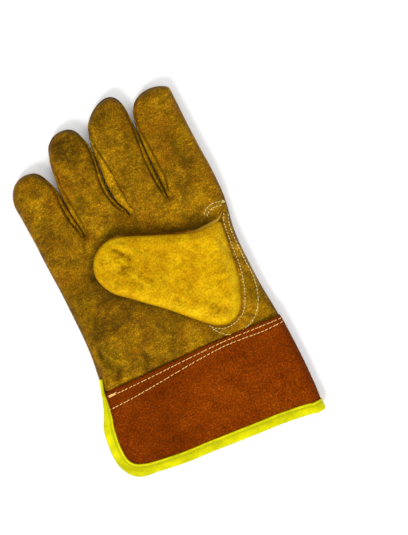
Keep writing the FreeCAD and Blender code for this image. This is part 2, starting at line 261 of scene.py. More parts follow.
def waves(P, size, seed, n=10):
    """Smooth seeded undulation between about -1 and 1, with this wavelength in mm."""
    r = np.random.RandomState(seed)
    P = np.asarray(P, float)
    out = np.zeros(len(P))
    for _ in range(n):
        a = r.uniform(0, 2 * math.pi)
        k = 2 * math.pi / (size * r.uniform(0.7, 1.6))
        out += np.sin(k * (P[:, 0] * math.cos(a) + P[:, 1] * math.sin(a)) + r.uniform(0, 6.28))
    return out / (n ** 0.5)


LINES = {}


def crease(P, pts, depth, width, fade=6.0):
    """A soft ridge (or, with a negative depth, a crease) along a smooth line, fading at its ends."""
    key = tuple(pts)
    if key not in LINES:
        LINES[key] = resample(np.array(pts, float), 40)
    line = LINES[key]
    d = dist_line(P, line)
    e0 = np.linalg.norm(P - line[0], axis=1)
    e1 = np.linalg.norm(P - line[-1], axis=1)
    f = smooth01(np.minimum(e0, e1) / fade + 0.15)
    return depth * np.exp(-(d / width) ** 2) * f


# ---------------------------------------------------------------- the hand's form
FINGERS = ("little", "ring", "middle", "index")
OUT = {f: resample(A[f.upper()], 420) for f in FINGERS}
# the sides of neighbouring fingers swell towards each other low down, so only a thin dark gap is left
for lo_f, hi_f in zip(FINGERS[:-1], FINGERS[1:]):
    a, b = OUT[lo_f], OUT[hi_f]
    ia = np.arange(len(a)) > int(np.argmax(a[:, 1]))
    ib = np.arange(len(b)) < int(np.argmax(b[:, 1]))
    ya, xa = a[ia][::-1, 1], a[ia][::-1, 0]
    yb, xb = b[ib][:, 1], b[ib][:, 0]
    for o, i, sign in ((a, ia, 1), (b, ib, -1)):
        y = o[i][:, 1]
        gap = np.interp(y, yb, xb) - np.interp(y, ya, xa)
        top = min(ya.max(), yb.max()) - 12
        keep = 0.10 + 0.90 * np.clip((gap - 2.6) / 5.0, 0, 1) ** 1.1
        shift = 0.5 * gap * (1 - keep) * np.clip((y - 52.5) / 2.5, 0, 1) * np.clip((top - y) / 14, 0, 1)
        o[i, 0] += sign * np.minimum(shift, 1.5)
SIL = np.vstack([A["PALM_L"][:-1]] + [A[f.upper()] for f in FINGERS] + [A["PALM_R"][::-1][1:]])
SIL_OPEN = np.vstack([resample(A["PALM_L"], 120)[:-1]] + [OUT[f] for f in FINGERS] + [resample(A["PALM_R"], 120)[::-1][1:]])
TIP_Y = {f: OUT[f][:, 1].max() for f in FINGERS}
CROTCH_X = [-27.4, 8.2, 38.5]


def tip_y(P):
    out = np.full(len(P), TIP_Y["little"])
    for x, f in zip(CROTCH_X, ("ring", "middle", "index")):
        out = np.where(P[:, 0] > x, TIP_Y[f], out)
    return out


# folds and puckers: (points, height, width)
FOLDS = [
    ([(-52.8, -24.0), (-52.0, -30.5), (-50.3, -38.5), (-49.0, -43.0)], -1.7, 2.0),
    ([(-50.8, -27.0), (-48.6, -33.6), (-45.3, -38.4), (-40.5, -42.0)], 1.2, 1.7),
    ([(-56.8, -30.0), (-55.6, -38.0), (-54.2, -46.0)], 0.9, 1.5),
    ([(-51.5, -53.6), (-48.2, -50.4), (-45.2, -46.6), (-43.0, -42.0)], -1.5, 1.7),
    ([(-56.6, -44.0), (-54.4, -49.5), (-53.0, -54.0)], 0.8, 1.3),
    ([(-49.5, -54.2), (-44.0, -53.2), (-39.0, -54.4)], 0.9, 1.3),
    ([(-59.5, -55.0), (-55.5, -52.8), (-50.5, -52.6)], 1.0, 1.2),
    ([(-59.6, -53.0), (-57.8, -47.0), (-56.2, -40.0)], 0.8, 1.2),
    ([(-43.0, -50.6), (-38.5, -49.0), (-34.0, -50.5)], -0.7, 1.4),
    ([(-40.0, -55.0), (-36.0, -46.0), (-33.0, -39.0)], -0.6, 1.4),
    ([(-26.0, -55.0), (-24.0, -47.0), (-23.0, -40.0)], -0.45, 1.5),
    ([(-10.0, -55.0), (-9.0, -48.0), (-6.0, -42.0)], 0.4, 1.8),
    ([(8.0, -55.0), (6.0, -48.0), (5.0, -41.0)], -0.4, 1.5),
    ([(-57.0, 0.0), (-50.0, -6.0), (-40.0, -10.0)], -0.35, 2.0),
    ([(-56.0, 12.0), (-46.0, 8.0), (-36.0, 6.0)], 0.35, 2.4),
    ([(42.0, 42.0), (52.0, 45.0), (62.0, 40.0)], 0.6, 3.2),
    ([(46.0, 49.5), (56.0, 53.0), (68.0, 52.0)], -0.35, 1.6),
    ([(-28.0, 50.0), (-30.5, 44.0), (-31.0, 37.0)], -0.7, 1.3),
    ([(-26.0, 51.0), (-23.0, 45.5), (-18.0, 41.5)], 0.5, 1.6),
    ([(9.0, 50.0), (12.0, 44.0), (17.0, 39.0)], -0.6, 1.3),
    ([(38.5, 52.5), (42.0, 47.5), (48.0, 45.0)], -0.6, 1.4),
    ([(36.5, 50.0), (33.0, 45.0), (28.0, 41.5)], 0.45, 1.7),
    ([(47.0, 94.0), (55.0, 92.5), (66.0, 93.5)], -0.28, 1.4),
    ([(46.0, 76.0), (56.0, 74.5), (68.0, 76.0)], -0.25, 1.6),
    ([(9.0, 98.0), (18.0, 95.5), (31.0, 97.5)], -0.3, 1.4),
    ([(10.0, 80.0), (20.0, 77.5), (32.0, 80.0)], -0.22, 1.5),
    ([(14.0, 112.0), (15.0, 90.0), (14.0, 70.0)], 0.3, 1.6),
    ([(21.0, 104.0), (22.5, 85.0), (20.0, 66.0)], -0.25, 1.5),
    ([(-25.0, 92.0), (-14.0, 90.0), (-4.0, 92.5)], -0.28, 1.4),
    ([(-60.0, 84.0), (-48.0, 82.0), (-36.0, 84.5)], -0.28, 1.4),
    ([(-12.0, 80.0), (-13.0, 66.0), (-11.0, 52.0)], 0.3, 1.8),
]


def top_z(P, detail=True):
    P = np.asarray(P, float)
    d = dist_line(P, SIL_OPEN)
    y = P[:, 1]
    level = 15.2 - 1.9 * smooth01(1 - (tip_y(P) - y) / 26.0)
    palm = smooth01((52.0 - y) / 16.0)
    level = level - 0.7 * palm
    wrist = smooth01((-26.0 - y) / 34.0)
    level = level - 1.6 * wrist
    level = level - 1.9 * smooth01((-55.5 - y) / 4.0)
    R = 8.2 + 4.5 * palm
    d = np.where(d < 0.06, 0, d)
    z = ZS + (level - ZS) * dome(d / R)
    if detail:
        soft = np.clip(d / 5.0, 0, 1)
        w = 0.24 * waves(P, 17, 3) + 0.11 * waves(P, 7, 4) + 0.05 * waves(P, 3.2, 5)
        for pts, h, width in FOLDS:
            w = w + crease(P, pts, h, width)
        z = z + w * soft * (1 - 0.8 * smooth01((-55.5 - y) / 3.0))
    return z


def bottom_z(P):
    P = np.asarray(P, float)
    d = dist_line(P, SIL_OPEN)
    y = P[:, 1]
    base = 0.35 + 0.75 * smooth01((60.0 - y) / 10.0) + 1.7 * smooth01((-55.0 - y) / 4.0)
    base = base + 1.6 * smooth01(1 - (tip_y(P) - y) / 22.0)
    d = np.where(d < 0.06, 0, d)
    z = ZS - (ZS - base) * dome(d / 7.5, 2.4)
    return z + np.clip(d / 6.0, 0, 1) * (0.10 * (waves(P, 13, 8) + 1.0))


# ---------------------------------------------------------------- meshes
collection = bpy.context.scene.collection
WELD = []              # leather pieces whose outer normals are made to agree


def mesh_object(name, verts, faces, smooth=True):
    me = bpy.data.meshes.new(name)
    me.from_pydata([tuple(v) for v in np.asarray(verts, float) * MM], [], faces)
    me.validate()
    if smooth:
        me.polygons.foreach_set("use_smooth", [True] * len(me.polygons))
    ob = bpy.data.objects.new(name, me)
    collection.objects.link(ob)
    return ob


def grid_faces(n, m, wrap_n=False, wrap_m=False, flip=False, offset=0):
    out = []
    for i in range(n if wrap_n else n - 1):
        for j in range(m if wrap_m else m - 1):
            a, b = i * m + j, ((i + 1) % n) * m + j
            c, d = ((i + 1) % n) * m + (j + 1) % m, i * m + (j + 1) % m
            q = (a + offset, b + offset, c + offset, d + offset)
            out.append(q[::-1] if flip else q)
    return out


def merged(verts, faces, eps=1e-3):
    """Vertices that fall on each other joined, and faces with no area dropped."""
    key = np.round(np.asarray(verts, float) / eps).astype(np.int64)
    _, first, inv = np.unique(key, axis=0, return_index=True, return_inverse=True)
    inv = np.asarray(inv).reshape(-1)
    out = []
    for f in faces:
        g = []
        for i in f:
            j = int(inv[i])
            if j not in g:
                g.append(j)
        if len(g) >= 3:
            out.append(tuple(g))
    return np.asarray(verts, float)[first], out


def normals_of(verts, faces):
    n = np.zeros_like(verts)
    for size in (3, 4):
        f = np.array([q for q in faces if len(q) == size], int).reshape(-1, size)
        if not len(f):
            continue
        p = verts[f]
        c = np.cross(p[:, 1] - p[:, 0], p[:, 2] - p[:, 0])
        if size == 4:
            c = c + np.cross(p[:, 2] - p[:, 0], p[:, 3] - p[:, 0])
        for i in range(size):
            np.add.at(n, f[:, i], c)
    return n / np.maximum(np.linalg.norm(n, axis=1, keepdims=True), 1e-12)


def shell(name, verts, faces, thick=1.2, tint=None, weld=True):
    """A leather panel: the given outer surface, an inner one this far inside, and the cut edge between them."""
    verts, faces = merged(verts, faces)
    n = normals_of(verts, faces)
    inner = verts - n * thick
    N = len(verts)
    edges = {}
    for f in faces:
        for i in range(len(f)):
            e = (f[i], f[(i + 1) % len(f)])
            edges[e] = edges.get(e, 0) + 1
    rim = [(a, b) for a, b in edges if (b, a) not in edges]
    allf = list(faces) + [tuple(i + N for i in f[::-1]) for f in faces]
    allf += [(b, a, a + N, b + N) for a, b in rim]
    ob = mesh_object(name, np.vstack([verts, inner]), allf)
    ob["outer_count"] = N
    if weld:
        WELD.append((ob, verts, faces, n))
    set_tint(ob, np.vstack([verts, verts]), tint)
    return ob


def set_tint(ob, verts, tint=None):
    """Per-vertex tint: r darkens (handling, and painted shade at edges and in creases), g lightens (paler patches, and
    painted highlight on ridges and upper sides), b is the piece's own choice (on the hand leather painted shadow round
    the thumb and in deep folds).
    """
    t = np.zeros((len(verts), 4), np.float32)
    t[:, 3] = 1
    if tint is not None:
        t[:, :3] = tint(verts)
    if len(ob.data.vertices) == len(verts):
        at = ob.data.color_attributes.new("tint", "FLOAT_COLOR", "POINT")
        at.data.foreach_set("color", np.clip(t, 0, 1).ravel())


def agree_normals():
    """Vertices that neighbouring leather pieces share get one normal, so no line shows between the pieces."""
    table = {}
    for ob, verts, faces, n in WELD:
        for k, v in zip(map(tuple, np.round(verts / 2e-3).astype(np.int64)), n):
            table[k] = table.get(k, 0) + v
    for ob, verts, faces, n in WELD:
        out = np.zeros((len(ob.data.vertices), 3))
        for i, k in enumerate(map(tuple, np.round(verts / 2e-3).astype(np.int64))):
            v = table[k]
            out[i] = v / max(np.linalg.norm(v), 1e-9)
        ob.data.normals_split_custom_set_from_vertices([tuple(v) for v in out])


# ---------------------------------------------------------------- tint of the hand leather
DARK = [  # handled, darker patches, some of them painted shade beside the folded thumb: (x, y, radius x, radius y, strength)
    (-15, 114, 10, 13, 1.0), (26, 118, 13, 14, 0.5), (62, 112, 14, 10, 0.22), (-52, 96, 14, 18, 0.45),
    (-44, -5, 18, 26, 0.42), (-30, -18, 22, 12, 0.35), (10, -34, 26, 9, 0.30), (-55, 30, 8, 30, 0.35),
    (60, 90, 10, 22, 0.22), (18, 70, 6, 5, 0.45), (-4, 44, 16, 6, 0.30), (-47, 60, 10, 20, 0.22),
    (58, 58, 12, 6, 0.18),
]
LIGHT = [
    (54, 42, 13, 7, 0.55), (28, 48, 10, 6, 0.35), (-18, 52, 12, 10, 0.35), (-2, 60, 6, 14, 0.25),
    (60, 116, 12, 8, 0.08), (-50, 84, 8, 14, 0.25), (8, 92, 4, 24, 0.55), (-44, -36, 9, 9, 0.45),
    (20, -46, 30, 7, 0.30), (-12, -40, 14, 6, 0.22), (70, -30, 6, 18, 0.35), (-22, 96, 8, 12, 0.20),
    (-30, 44, 8, 6, 0.35), (22, 64, 10, 8, 0.18), (22, 94, 9, 12, 0.28), (-24, 118, 8, 6, 0.12),
]


SHADES = [  # painted shade in the deep folds by the wrist and at the finger roots: (points, width, strength)
    ([(-53.4, -22.5), (-52.0, -31.0), (-50.2, -39.0)], 2.3, 0.85),
    ([(-43.0, -44.5), (-46.8, -48.6), (-50.2, -53.0)], 1.7, 0.85),
    ([(-58.8, -54.2), (-56.4, -50.0), (-54.0, -45.0)], 1.2, 0.6),
    ([(-36.5, -39.5), (-34.4, -42.0), (-33.0, -46.5)], 3.4, 0.42),
    ([(-51.5, -13.5), (-51.0, -17.5), (-51.5, -22.0)], 3.6, 0.42),
    ([(-24.0, -41.5), (-22.5, -47.0), (-22.0, -52.5)], 1.8, 0.35),
    ([(-30.5, 46.5), (-31.0, 41.0), (-29.5, 35.0)], 1.5, 0.45),
    ([(10.5, 47.0), (14.0, 42.0), (19.0, 37.5)], 1.4, 0.40),
]
THUMB_EDGE = resample(A["THUMB"], 200, closed=True)


def hand_tint(seam=None):
    def f(verts):
        P = verts[:, :2]
        r = np.zeros(len(P))
        g = np.zeros(len(P))
        wob = 1 + 0.35 * waves(P, 9, 21)
        for x, y, a, b, s in DARK:
            r = np.maximum(r, s * np.exp(-(((P[:, 0] - x) / a) ** 2 + ((P[:, 1] - y) / b) ** 2) * wob ** 2))
        for x, y, a, b, s in LIGHT:
            g = np.maximum(g, s * np.exp(-(((P[:, 0] - x) / a) ** 2 + ((P[:, 1] - y) / b) ** 2) * wob ** 2))
        d = dist_line(P, SIL_OPEN)
        # painted shade along the rounded edges of the hand
        r = np.maximum(r, 0.66 * np.exp(-(d / 2.3) ** 2))
        # painted shadow of the folded thumb, on the leather where the thumb lies over it
        dt = dist_line(P, THUMB_EDGE, closed=True)
        above = smooth01((P[:, 1] - (40.0 - 0.40 * (P[:, 0] + 8))) / 6.0 + 0.6) * smooth01((66 - P[:, 0]) / 10.0)
        b = 0.92 * above * np.exp(-(np.maximum(dt - 2.6, 0) / 3.4) ** 2) * (0.85 + 0.15 * waves(P, 14, 23))
        # painted shade along the deep folds
        for pts, w, s in SHADES:
            b = np.maximum(b, crease(P, pts, s, w, 4.0))
        # weaker painted shade below and left of the thumb
        b = np.maximum(b, 0.50 * (1 - above) * smooth01((34 - P[:, 0]) / 30.0) * np.exp(-(dt / 5.0) ** 2))
        ends = smooth01(1 - (tip_y(P) - P[:, 1]) / 14.0)
        r = np.maximum(r, 0.38 * ends)
        # painted shade in the creases and painted highlight on the ridges of the folds
        for pts, h, w in FOLDS:
            c = crease(P, pts, 1.0, w)
            if h < 0:
                r = np.maximum(r, min(1.0, -0.95 * h) * c)
            else:
                g = np.maximum(g, 0.85 * min(1.0, h) * c)
        if seam is not None:
            sm = seam(P, verts)
            r = np.maximum(r, sm)
            g = g * (1 - sm)
        return np.stack([r, g, b], 1)
    return f


# ---------------------------------------------------------------- fingers
SEAM_D = {"little": (0.9, 2.4), "ring": (2.9, 2.2), "middle": (6.2, 2.4), "index": (3.4, 0.9)}
FOLDED = {"little": "left", "ring": None, "middle": None, "index": "right"}


def finger_rays(f):
    """Pairs (edge point, centre point) right round the finger, from the left root over the tip to the right root, and the seam's distance from the edge."""
    out = OUT[f]
    k = int(np.argmax(out[:, 1]))
    left, right = out[:k + 1], out[k:][::-1]
    halfw = 0.5 * (np.interp(90.0, right[:, 1], right[:, 0]) - np.interp(90.0, left[:, 1], left[:, 0]))
    ye = TIP_Y[f] - halfw * 1.05
    lo, sp = Y_C, SPLIT[f]
    rows = np.r_[np.linspace(lo, 56.0, 6)[:-1], np.linspace(56.0, 70.0, 15)[:-1], np.linspace(70.0, sp, 6)[:-1], np.linspace(sp, ye, int((ye - sp) / 1.05) + 1)]
    xl, xr = np.interp(rows, left[:, 1], left[:, 0]), np.interp(rows, right[:, 1], right[:, 0])
    xc = 0.5 * (xl + xr)
    C0 = np.array([xc[-1], ye])
    ang = np.mod(np.arctan2(out[:, 1] - C0[1], out[:, 0] - C0[0]) + math.pi / 2, 2 * math.pi) - math.pi / 2
    rad = np.linalg.norm(out - C0, axis=1)
    fan = np.linspace(math.pi, 0, 46)[1:-1]
    if f == "index":     # the folded corner keeps its own ray
        corner = A["INDEX"][14]
        ca = math.atan2(corner[1] - C0[1], corner[0] - C0[0])
        fan = np.sort(np.r_[fan, ca - 0.03, ca, ca + 0.03])[::-1]
    order = np.argsort(ang)
    r = np.interp(fan, ang[order], rad[order])
    E = np.vstack([
        np.stack([xl, rows], 1),
        C0 + np.stack([np.cos(fan), np.sin(fan)], 1) * r[:, None],
        np.stack([xr, rows], 1)[::-1],
    ])
    C = np.vstack([
        np.stack([xc, rows], 1),
        np.repeat(C0[None], len(fan), 0),
        np.stack([xc, rows], 1)[::-1],
    ])
    n, m = len(rows), len(fan)
    side = np.r_[np.zeros(n), np.linspace(0, 1, m), np.ones(n)]
    sl, sr = SEAM_D[f]
    base = sl * (1 - side) + sr * side
    bell = smooth01((ye + 4 - rows) / (ye + 4 - 76.0)) * (0.35 + 0.65 * smooth01((rows - Y_C) / 16.0))
    tipness = 1 - np.r_[bell, np.zeros(m), bell[::-1]]
    wide = np.where(base > 2.0, base * 1.18, base)
    sd = wide * (1 - tipness) + np.minimum(base, 1.0) * tipness
    return E, C, sd, n, m, rows


OUTER_R = np.array([0, 0.10, 0.24, 0.42, 0.60, 0.78, 0.92, 1.0])
INNER_R = np.array([0.0, 0.022, 0.05, 0.09, 0.15, 0.23, 0.33, 0.45, 0.58, 0.72, 0.86, 1.0])


def rings(E, C, sd):
    D = np.linalg.norm(C - E, axis=1)
    d = np.concatenate([sd[:, None] * OUTER_R[None], sd[:, None] + (D - sd)[:, None] * INNER_R[None, 1:]], 1)
    return E[:, None, :] + (C - E)[:, None, :] * (d / D[:, None])[..., None], d


def seam_profile(d, sd, folded):
    """The groove and the rolled lip beside a finger seam."""
    x = d - sd
    groove = -1.5 * np.exp(-(x / 0.62) ** 2) + 0.50 * np.exp(-((x - 1.5) / 0.9) ** 2) + 0.25 * np.exp(-((x + 1.3) / 0.8) ** 2)
    return groove * (1 - folded)


PALM_COLUMNS = []
for f in FINGERS:
    E, C, sd, n, m, rows = finger_rays(f)
    G, D = rings(E, C, sd)
    N, K = G.shape[:2]
    side = np.r_[np.zeros(n), np.linspace(0, 1, m), np.ones(n)]
    fold = np.zeros(N)
    if FOLDED[f] == "left":
        fold = 1 - smooth01(side * 1.6)
    elif FOLDED[f] == "right":
        fold = smooth01(side * 1.9 - 0.9)
    flat = G.reshape(-1, 2)
    fade = smooth01((flat[:, 1] - 53.5) / 5.0)
    zt = top_z(flat) + seam_profile(D.ravel(), np.repeat(sd, K), np.repeat(fold, K)) * fade
    bd = np.minimum(D, np.linalg.norm(C - E, axis=1)[:, None])
    zb = bottom_z(flat)
    x = D.ravel() - 1.8
    zb = zb + (0.5 * np.exp(-(x / 0.45) ** 2)) * (1 - np.repeat(fold, K)) * fade
    T = np.concatenate([G, zt.reshape(N, K, 1)], 2)
    B = np.concatenate([G, zb.reshape(N, K, 1)], 2)
    js = 5 + 14 + 5                 # index of the split row
    ks = len(OUTER_R) - 1           # ring of the top seam

    stitched = fold < 0.5
    seam_line = G[:, len(OUTER_R) - 1][stitched]

    def seam_dark(P, verts, seam_line=seam_line):
        d = dist_line(P, seam_line)
        return np.exp(-(d / 0.95) ** 2) * smooth01((P[:, 1] - 52) / 4) * (verts[:, 2] > ZS)

    tint = hand_tint(seam_dark)
    plain = hand_tint(seam_dark)

    mid_x = 0.5 * (OUT[f][:, 0].min() + OUT[f][:, 0].max())

    def tint_side(verts, plain=plain, mid_x=mid_x, side_of={"left": 1, "right": -1}.get(FOLDED[f], 0)):
        t = plain(verts)
        # sewn is 1 except on the folded outer side, so on the sides that face a neighbouring finger
        sewn = smooth01(0.5 + side_of * (verts[:, 0] - mid_x) / 6.0) if side_of else 1.0
        # painted light on the upper half of the side strips
        t[:, 1] = np.maximum(t[:, 1], 0.75 * (verts[:, 2] > ZS + 2))
        # painted shade low down in the gaps between neighbouring fingers, towards their roots
        t[:, 0] = np.maximum(t[:, 0] * 0.8, 0.85 * sewn * (verts[:, 2] < ZS + 2.0) * smooth01((96 - verts[:, 1]) / 14))
        return t

    for part, rows_used in (("lower", list(range(0, js + 1)) + list(range(N - js - 1, N))), ("upper", list(range(js, N - js)))):
        body_a, body_b = ("palm", f + "_proximal") if part == "lower" else (f + "_proximal", f + "_distal")
        y0, y1 = (55.9, 69.5) if part == "lower" else (MID[f] - 6.5, MID[f] + 6.5)
        nodes = "proximal" if part == "lower" else "distal"
        groups = [rows_used] if part == "upper" else [rows_used[:js + 1], rows_used[js + 1:]]

        def build(arr, k0, k1, flip):
            verts, faces = [], []
            for g in groups:
                sub = arr[g][:, k0:k1 + 1]
                faces += grid_faces(len(g), k1 - k0 + 1, flip=flip, offset=len(verts) and sum(len(v) for v in verts))
                verts.append(sub.reshape(-1, 3))
            return np.vstack(verts), faces

        fv, ff = build(T, ks, K - 1, True)
        bv, bf = build(B, 3, K - 1, False)
        sv1, sf1 = build(T, 0, ks, True)
        sv2, sf2 = build(B, 0, 3, False)
        front = shell("%s_front_%s" % (f, part), fv, ff, 1.2, tint)
        back = shell("%s_back_%s" % (f, part), bv, bf, 1.2, hand_tint())
        four = shell("%s_fourchette_%s" % (f, part), np.vstack([sv1, sv2]), sf1 + [tuple(i + len(sv1) for i in q) for q in sf2], 1.1, tint_side)
        for ob, what in ((front, "front"), (back, "back"), (four, "fourchette")):
            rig.blend(ob, body_a, body_b, start=(0, y0 * MM, 0), end=(0, y1 * MM, 0))
            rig.replaces(ob, "%s_%s_%s" % (f, what, nodes))
            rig.slot(ob, "leather_gold")
            ob["look"] = "hand"
    left_cols = G[0, :, 0]
    right_cols = G[-1, ::-1, 0]
    PALM_COLUMNS += list(left_cols) + list(right_cols[1:])
cols = np.array(sorted(set(np.round(PALM_COLUMNS, 5))))
cols = cols[np.r_[True, np.diff(cols) > 1e-3]]

# ---------------------------------------------------------------- palm and back of the hand
PL, PR = resample(A["PALM_L"], 300), resample(A["PALM_R"], 300)
rows = np.r_[np.linspace(-73.0, -57.0, 9)[:-1], np.linspace(-57.0, -40.0, 24)[:-1], np.linspace(-40.0, Y_C, 82)]
xl, xr = np.interp(rows, PL[:, 1], PL[:, 0]), np.interp(rows, PR[:, 1], PR[:, 0])
u = (cols - cols[0]) / (cols[-1] - cols[0])
even = np.linspace(0, 1, len(cols))
G = np.zeros((len(rows), len(cols), 2))
for i, y in enumerate(rows):
    w = smooth01((Y_C - y) / 30.0) * 0.8
    edge_fix = np.minimum(1, np.minimum(u, 1 - u) / 0.06)
    uu = u * (1 - w * edge_fix) + even * w * edge_fix
    uu = np.maximum.accumulate(uu)
    G[i, :, 0] = xl[i] + (xr[i] - xl[i]) * uu
    G[i, :, 1] = y
flat = G.reshape(-1, 2)
T = np.concatenate([G, top_z(flat).reshape(len(rows), len(cols), 1)], 2)
SEAMA, SEAMB = resample(A["SEAM_A"], 160), resample(A["SEAM_B"], 160)
zb = bottom_z(flat)
for seam in (SEAMA, SEAMB):
    zb = zb + 0.45 * np.exp(-(dist_line(flat, seam) / 0.8) ** 2)
B = np.concatenate([G, zb.reshape(len(rows), len(cols), 1)], 2)
palm = shell("palm_leather", T.reshape(-1, 3), grid_faces(len(rows), len(cols), flip=True), 1.2, hand_tint())
hback = shell("back_leather", B.reshape(-1, 3), grid_faces(len(rows), len(cols)), 1.2, hand_tint())
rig.replaces(palm, "palm_panel", "crotch_fourchette_index_middle", "crotch_fourchette_middle_ring", "crotch_fourchette_ring_little")
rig.replaces(hback, "back_panel_index", "back_panel_middle", "back_panel_ring_little")
WRIST = dict(start=(0, -49.3 * MM, 0), end=(0, -56.2 * MM, 0))
for ob in (palm, hback):
    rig.blend(ob, "palm", "cuff", **WRIST)
    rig.slot(ob, "leather_gold")
    ob["look"] = "hand"

# ---------------------------------------------------------------- thumb
CH_A, CH_B = np.array([73.8, 29.88]), np.array([41.4, -50.04])       # bending line, crotch to wrist
ch = (CH_A - CH_B) / np.linalg.norm(CH_A - CH_B)
ch_n = np.array([-ch[1], ch[0]])                                      # towards the thumb tip
TH = resample(A["THUMB"], 1440, closed=True)
SP_A, SP_B = np.array([-11.5, 21.6]), np.array([45.5, -16.5])         # spine of the panel
spine = SP_B - SP_A
# points round the edge, chosen so that both long sides share the same points on the spine
tt = ((TH - SP_A) @ spine) / (spine @ spine)
TH = np.roll(TH, -int(np.argmin(tt)), axis=0)
tt = np.roll(tt, -int(np.argmin(tt)))
kb = int(np.argmax(tt))
steps = np.linspace(0, 1, 92)
legs = []
for i0, i1 in ((0, kb + 1), (kb, len(TH))):
    p, t = TH[i0:i1], tt[i0:i1]
    if i0:
        p, t = p[::-1], t[::-1]
    cap0, cap1 = p[t < 0][::4], p[t > 1][::4]
    mid = np.stack([np.interp(steps, t, p[:, 0]), np.interp(steps, t, p[:, 1])], 1)
    E1 = np.vstack([cap0, mid, cap1])
    C1 = np.vstack([np.repeat(SP_A[None], len(cap0), 0), SP_A + steps[:, None] * spine, np.repeat(SP_B[None], len(cap1), 0)])
    legs.append((E1, C1) if not i0 else (E1[::-1], C1[::-1]))
TH = np.vstack([legs[0][0], legs[1][0]])
TC = np.vstack([legs[0][1], legs[1][1]])
ok = np.linalg.norm(TH - np.roll(TH, 1, 0), axis=1) > 0.05
TH, TC = TH[ok], TC[ok]
BASE_LINE = resample(A["THUMB_BASE_LINE"], 200)
base_d = dist_line(TH, BASE_LINE)
free = smooth01(base_d / 11.0)                    # 0 on the sewn root, 1 on the free edges
TH_RING = np.r_[0, 0.012, 0.03, 0.055, 0.085, np.linspace(0.12, 1, 26)]
THUMB_FOLDS = [
    ([(-9.0, 13.0), (-4.5, 6.0), (0.5, -2.5)], 1.0, 1.7),
    ([(-12.0, 17.0), (-8.0, 9.0), (-3.0, 0.5)], -0.9, 1.6),
    ([(-3.5, 14.0), (1.0, 6.0), (5.0, -2.0)], -0.8, 1.9),
    ([(-10.5, 38.0), (-3.0, 30.0), (3.0, 22.5)], 0.65, 1.8),
    ([(-14.0, 35.0), (-7.0, 26.5), (-2.0, 19.0)], -0.6, 1.6),
    ([(-21.0, 33.0), (-15.0, 24.0), (-11.0, 18.0)], 0.5, 1.8),
    ([(-25.0, 27.0), (-20.0, 18.0), (-14.0, 8.0)], -0.55, 1.6),
    ([(-28.0, 20.0), (-23.0, 11.0), (-17.0, 2.0)], 0.45, 1.7),
    ([(4.0, 27.0), (13.0, 19.0), (22.0, 8.0)], -0.35, 2.6),
    ([(12.0, -16.0), (16.0, -20.5), (19.0, -25.5)], -0.5, 1.6),
    ([(31.0, -31.0), (38.0, -36.0), (45.0, -40.0)], -0.7, 1.8),
    ([(33.0, -27.0), (41.0, -32.0), (49.0, -34.0)], 0.6, 2.0),
    ([(57.1, 7.9), (60.5, 0.0), (63.0, -10.0)], -0.5, 1.3),
    ([(54.0, 9.0), (57.0, 0.0), (59.0, -12.0)], 0.35, 1.8),
    ([(24.0, -14.0), (32.0, -20.0), (40.0, -24.0)], 0.4, 3.0),
    ([(22.0, 22.0), (36.0, 16.0), (52.0, 14.0)], 0.35, 2.4),
]
edge_palm = top_z(TH, detail=False)


def rayed(E, C, r):
    return E[:, None, :] + (C - E)[:, None, :] * r[None, :, None]


TG = rayed(TH, TC, TH_RING)
Dth = np.linalg.norm(TC - TH, axis=1)[:, None] * TH_RING[None]
flat = TG.reshape(-1, 2)
chord_side = ((flat - CH_B) @ ch_n)               # mm to the tip side of the bending line
rim_d = dist_line(flat, TH, closed=True)
rim_d = np.where(rim_d < 0.02, 0, rim_d)
fr = smooth01(dist_line(flat, BASE_LINE) / 17.0)   # 0 on the sewn root, 1 on the free edges
level = 25.4 + 1.2 * smooth01(chord_side / 45.0) - 1.0 * smooth01((chord_side - 60) / 35.0) + 0.45 * waves(flat, 34, 30)
level = level * smooth01((chord_side + 26) / 44.0) + 21.4 * (1 - smooth01((chord_side + 26) / 44.0))
ze = (top_z(flat, detail=False) + 0.9) * (1 - fr) + 20.2 * fr
Rr = 9.5 * fr + 17.0 * (1 - fr)
pw = 2.3 * fr + 1.6 * (1 - fr)
rr = np.clip(rim_d / Rr, 0, 1)
zt = ze + (level - ze) * (1 - (1 - rr) ** pw) ** (1 / pw)
soft = np.clip(rim_d / 4.0, 0, 1)
w = 0.32 * waves(flat, 19, 31) + 0.12 * waves(flat, 8, 32) + 0.05 * waves(flat, 3.4, 33)
for pts, h, width in THUMB_FOLDS:
    w = w + crease(flat, pts, h, width, 5.0)
zt = zt + w * soft
zt = zt + 0.22 * np.exp(-((rim_d - 1.6) / 0.9) ** 2) - 0.12 * np.exp(-((rim_d - 3.4) / 1.0) ** 2)


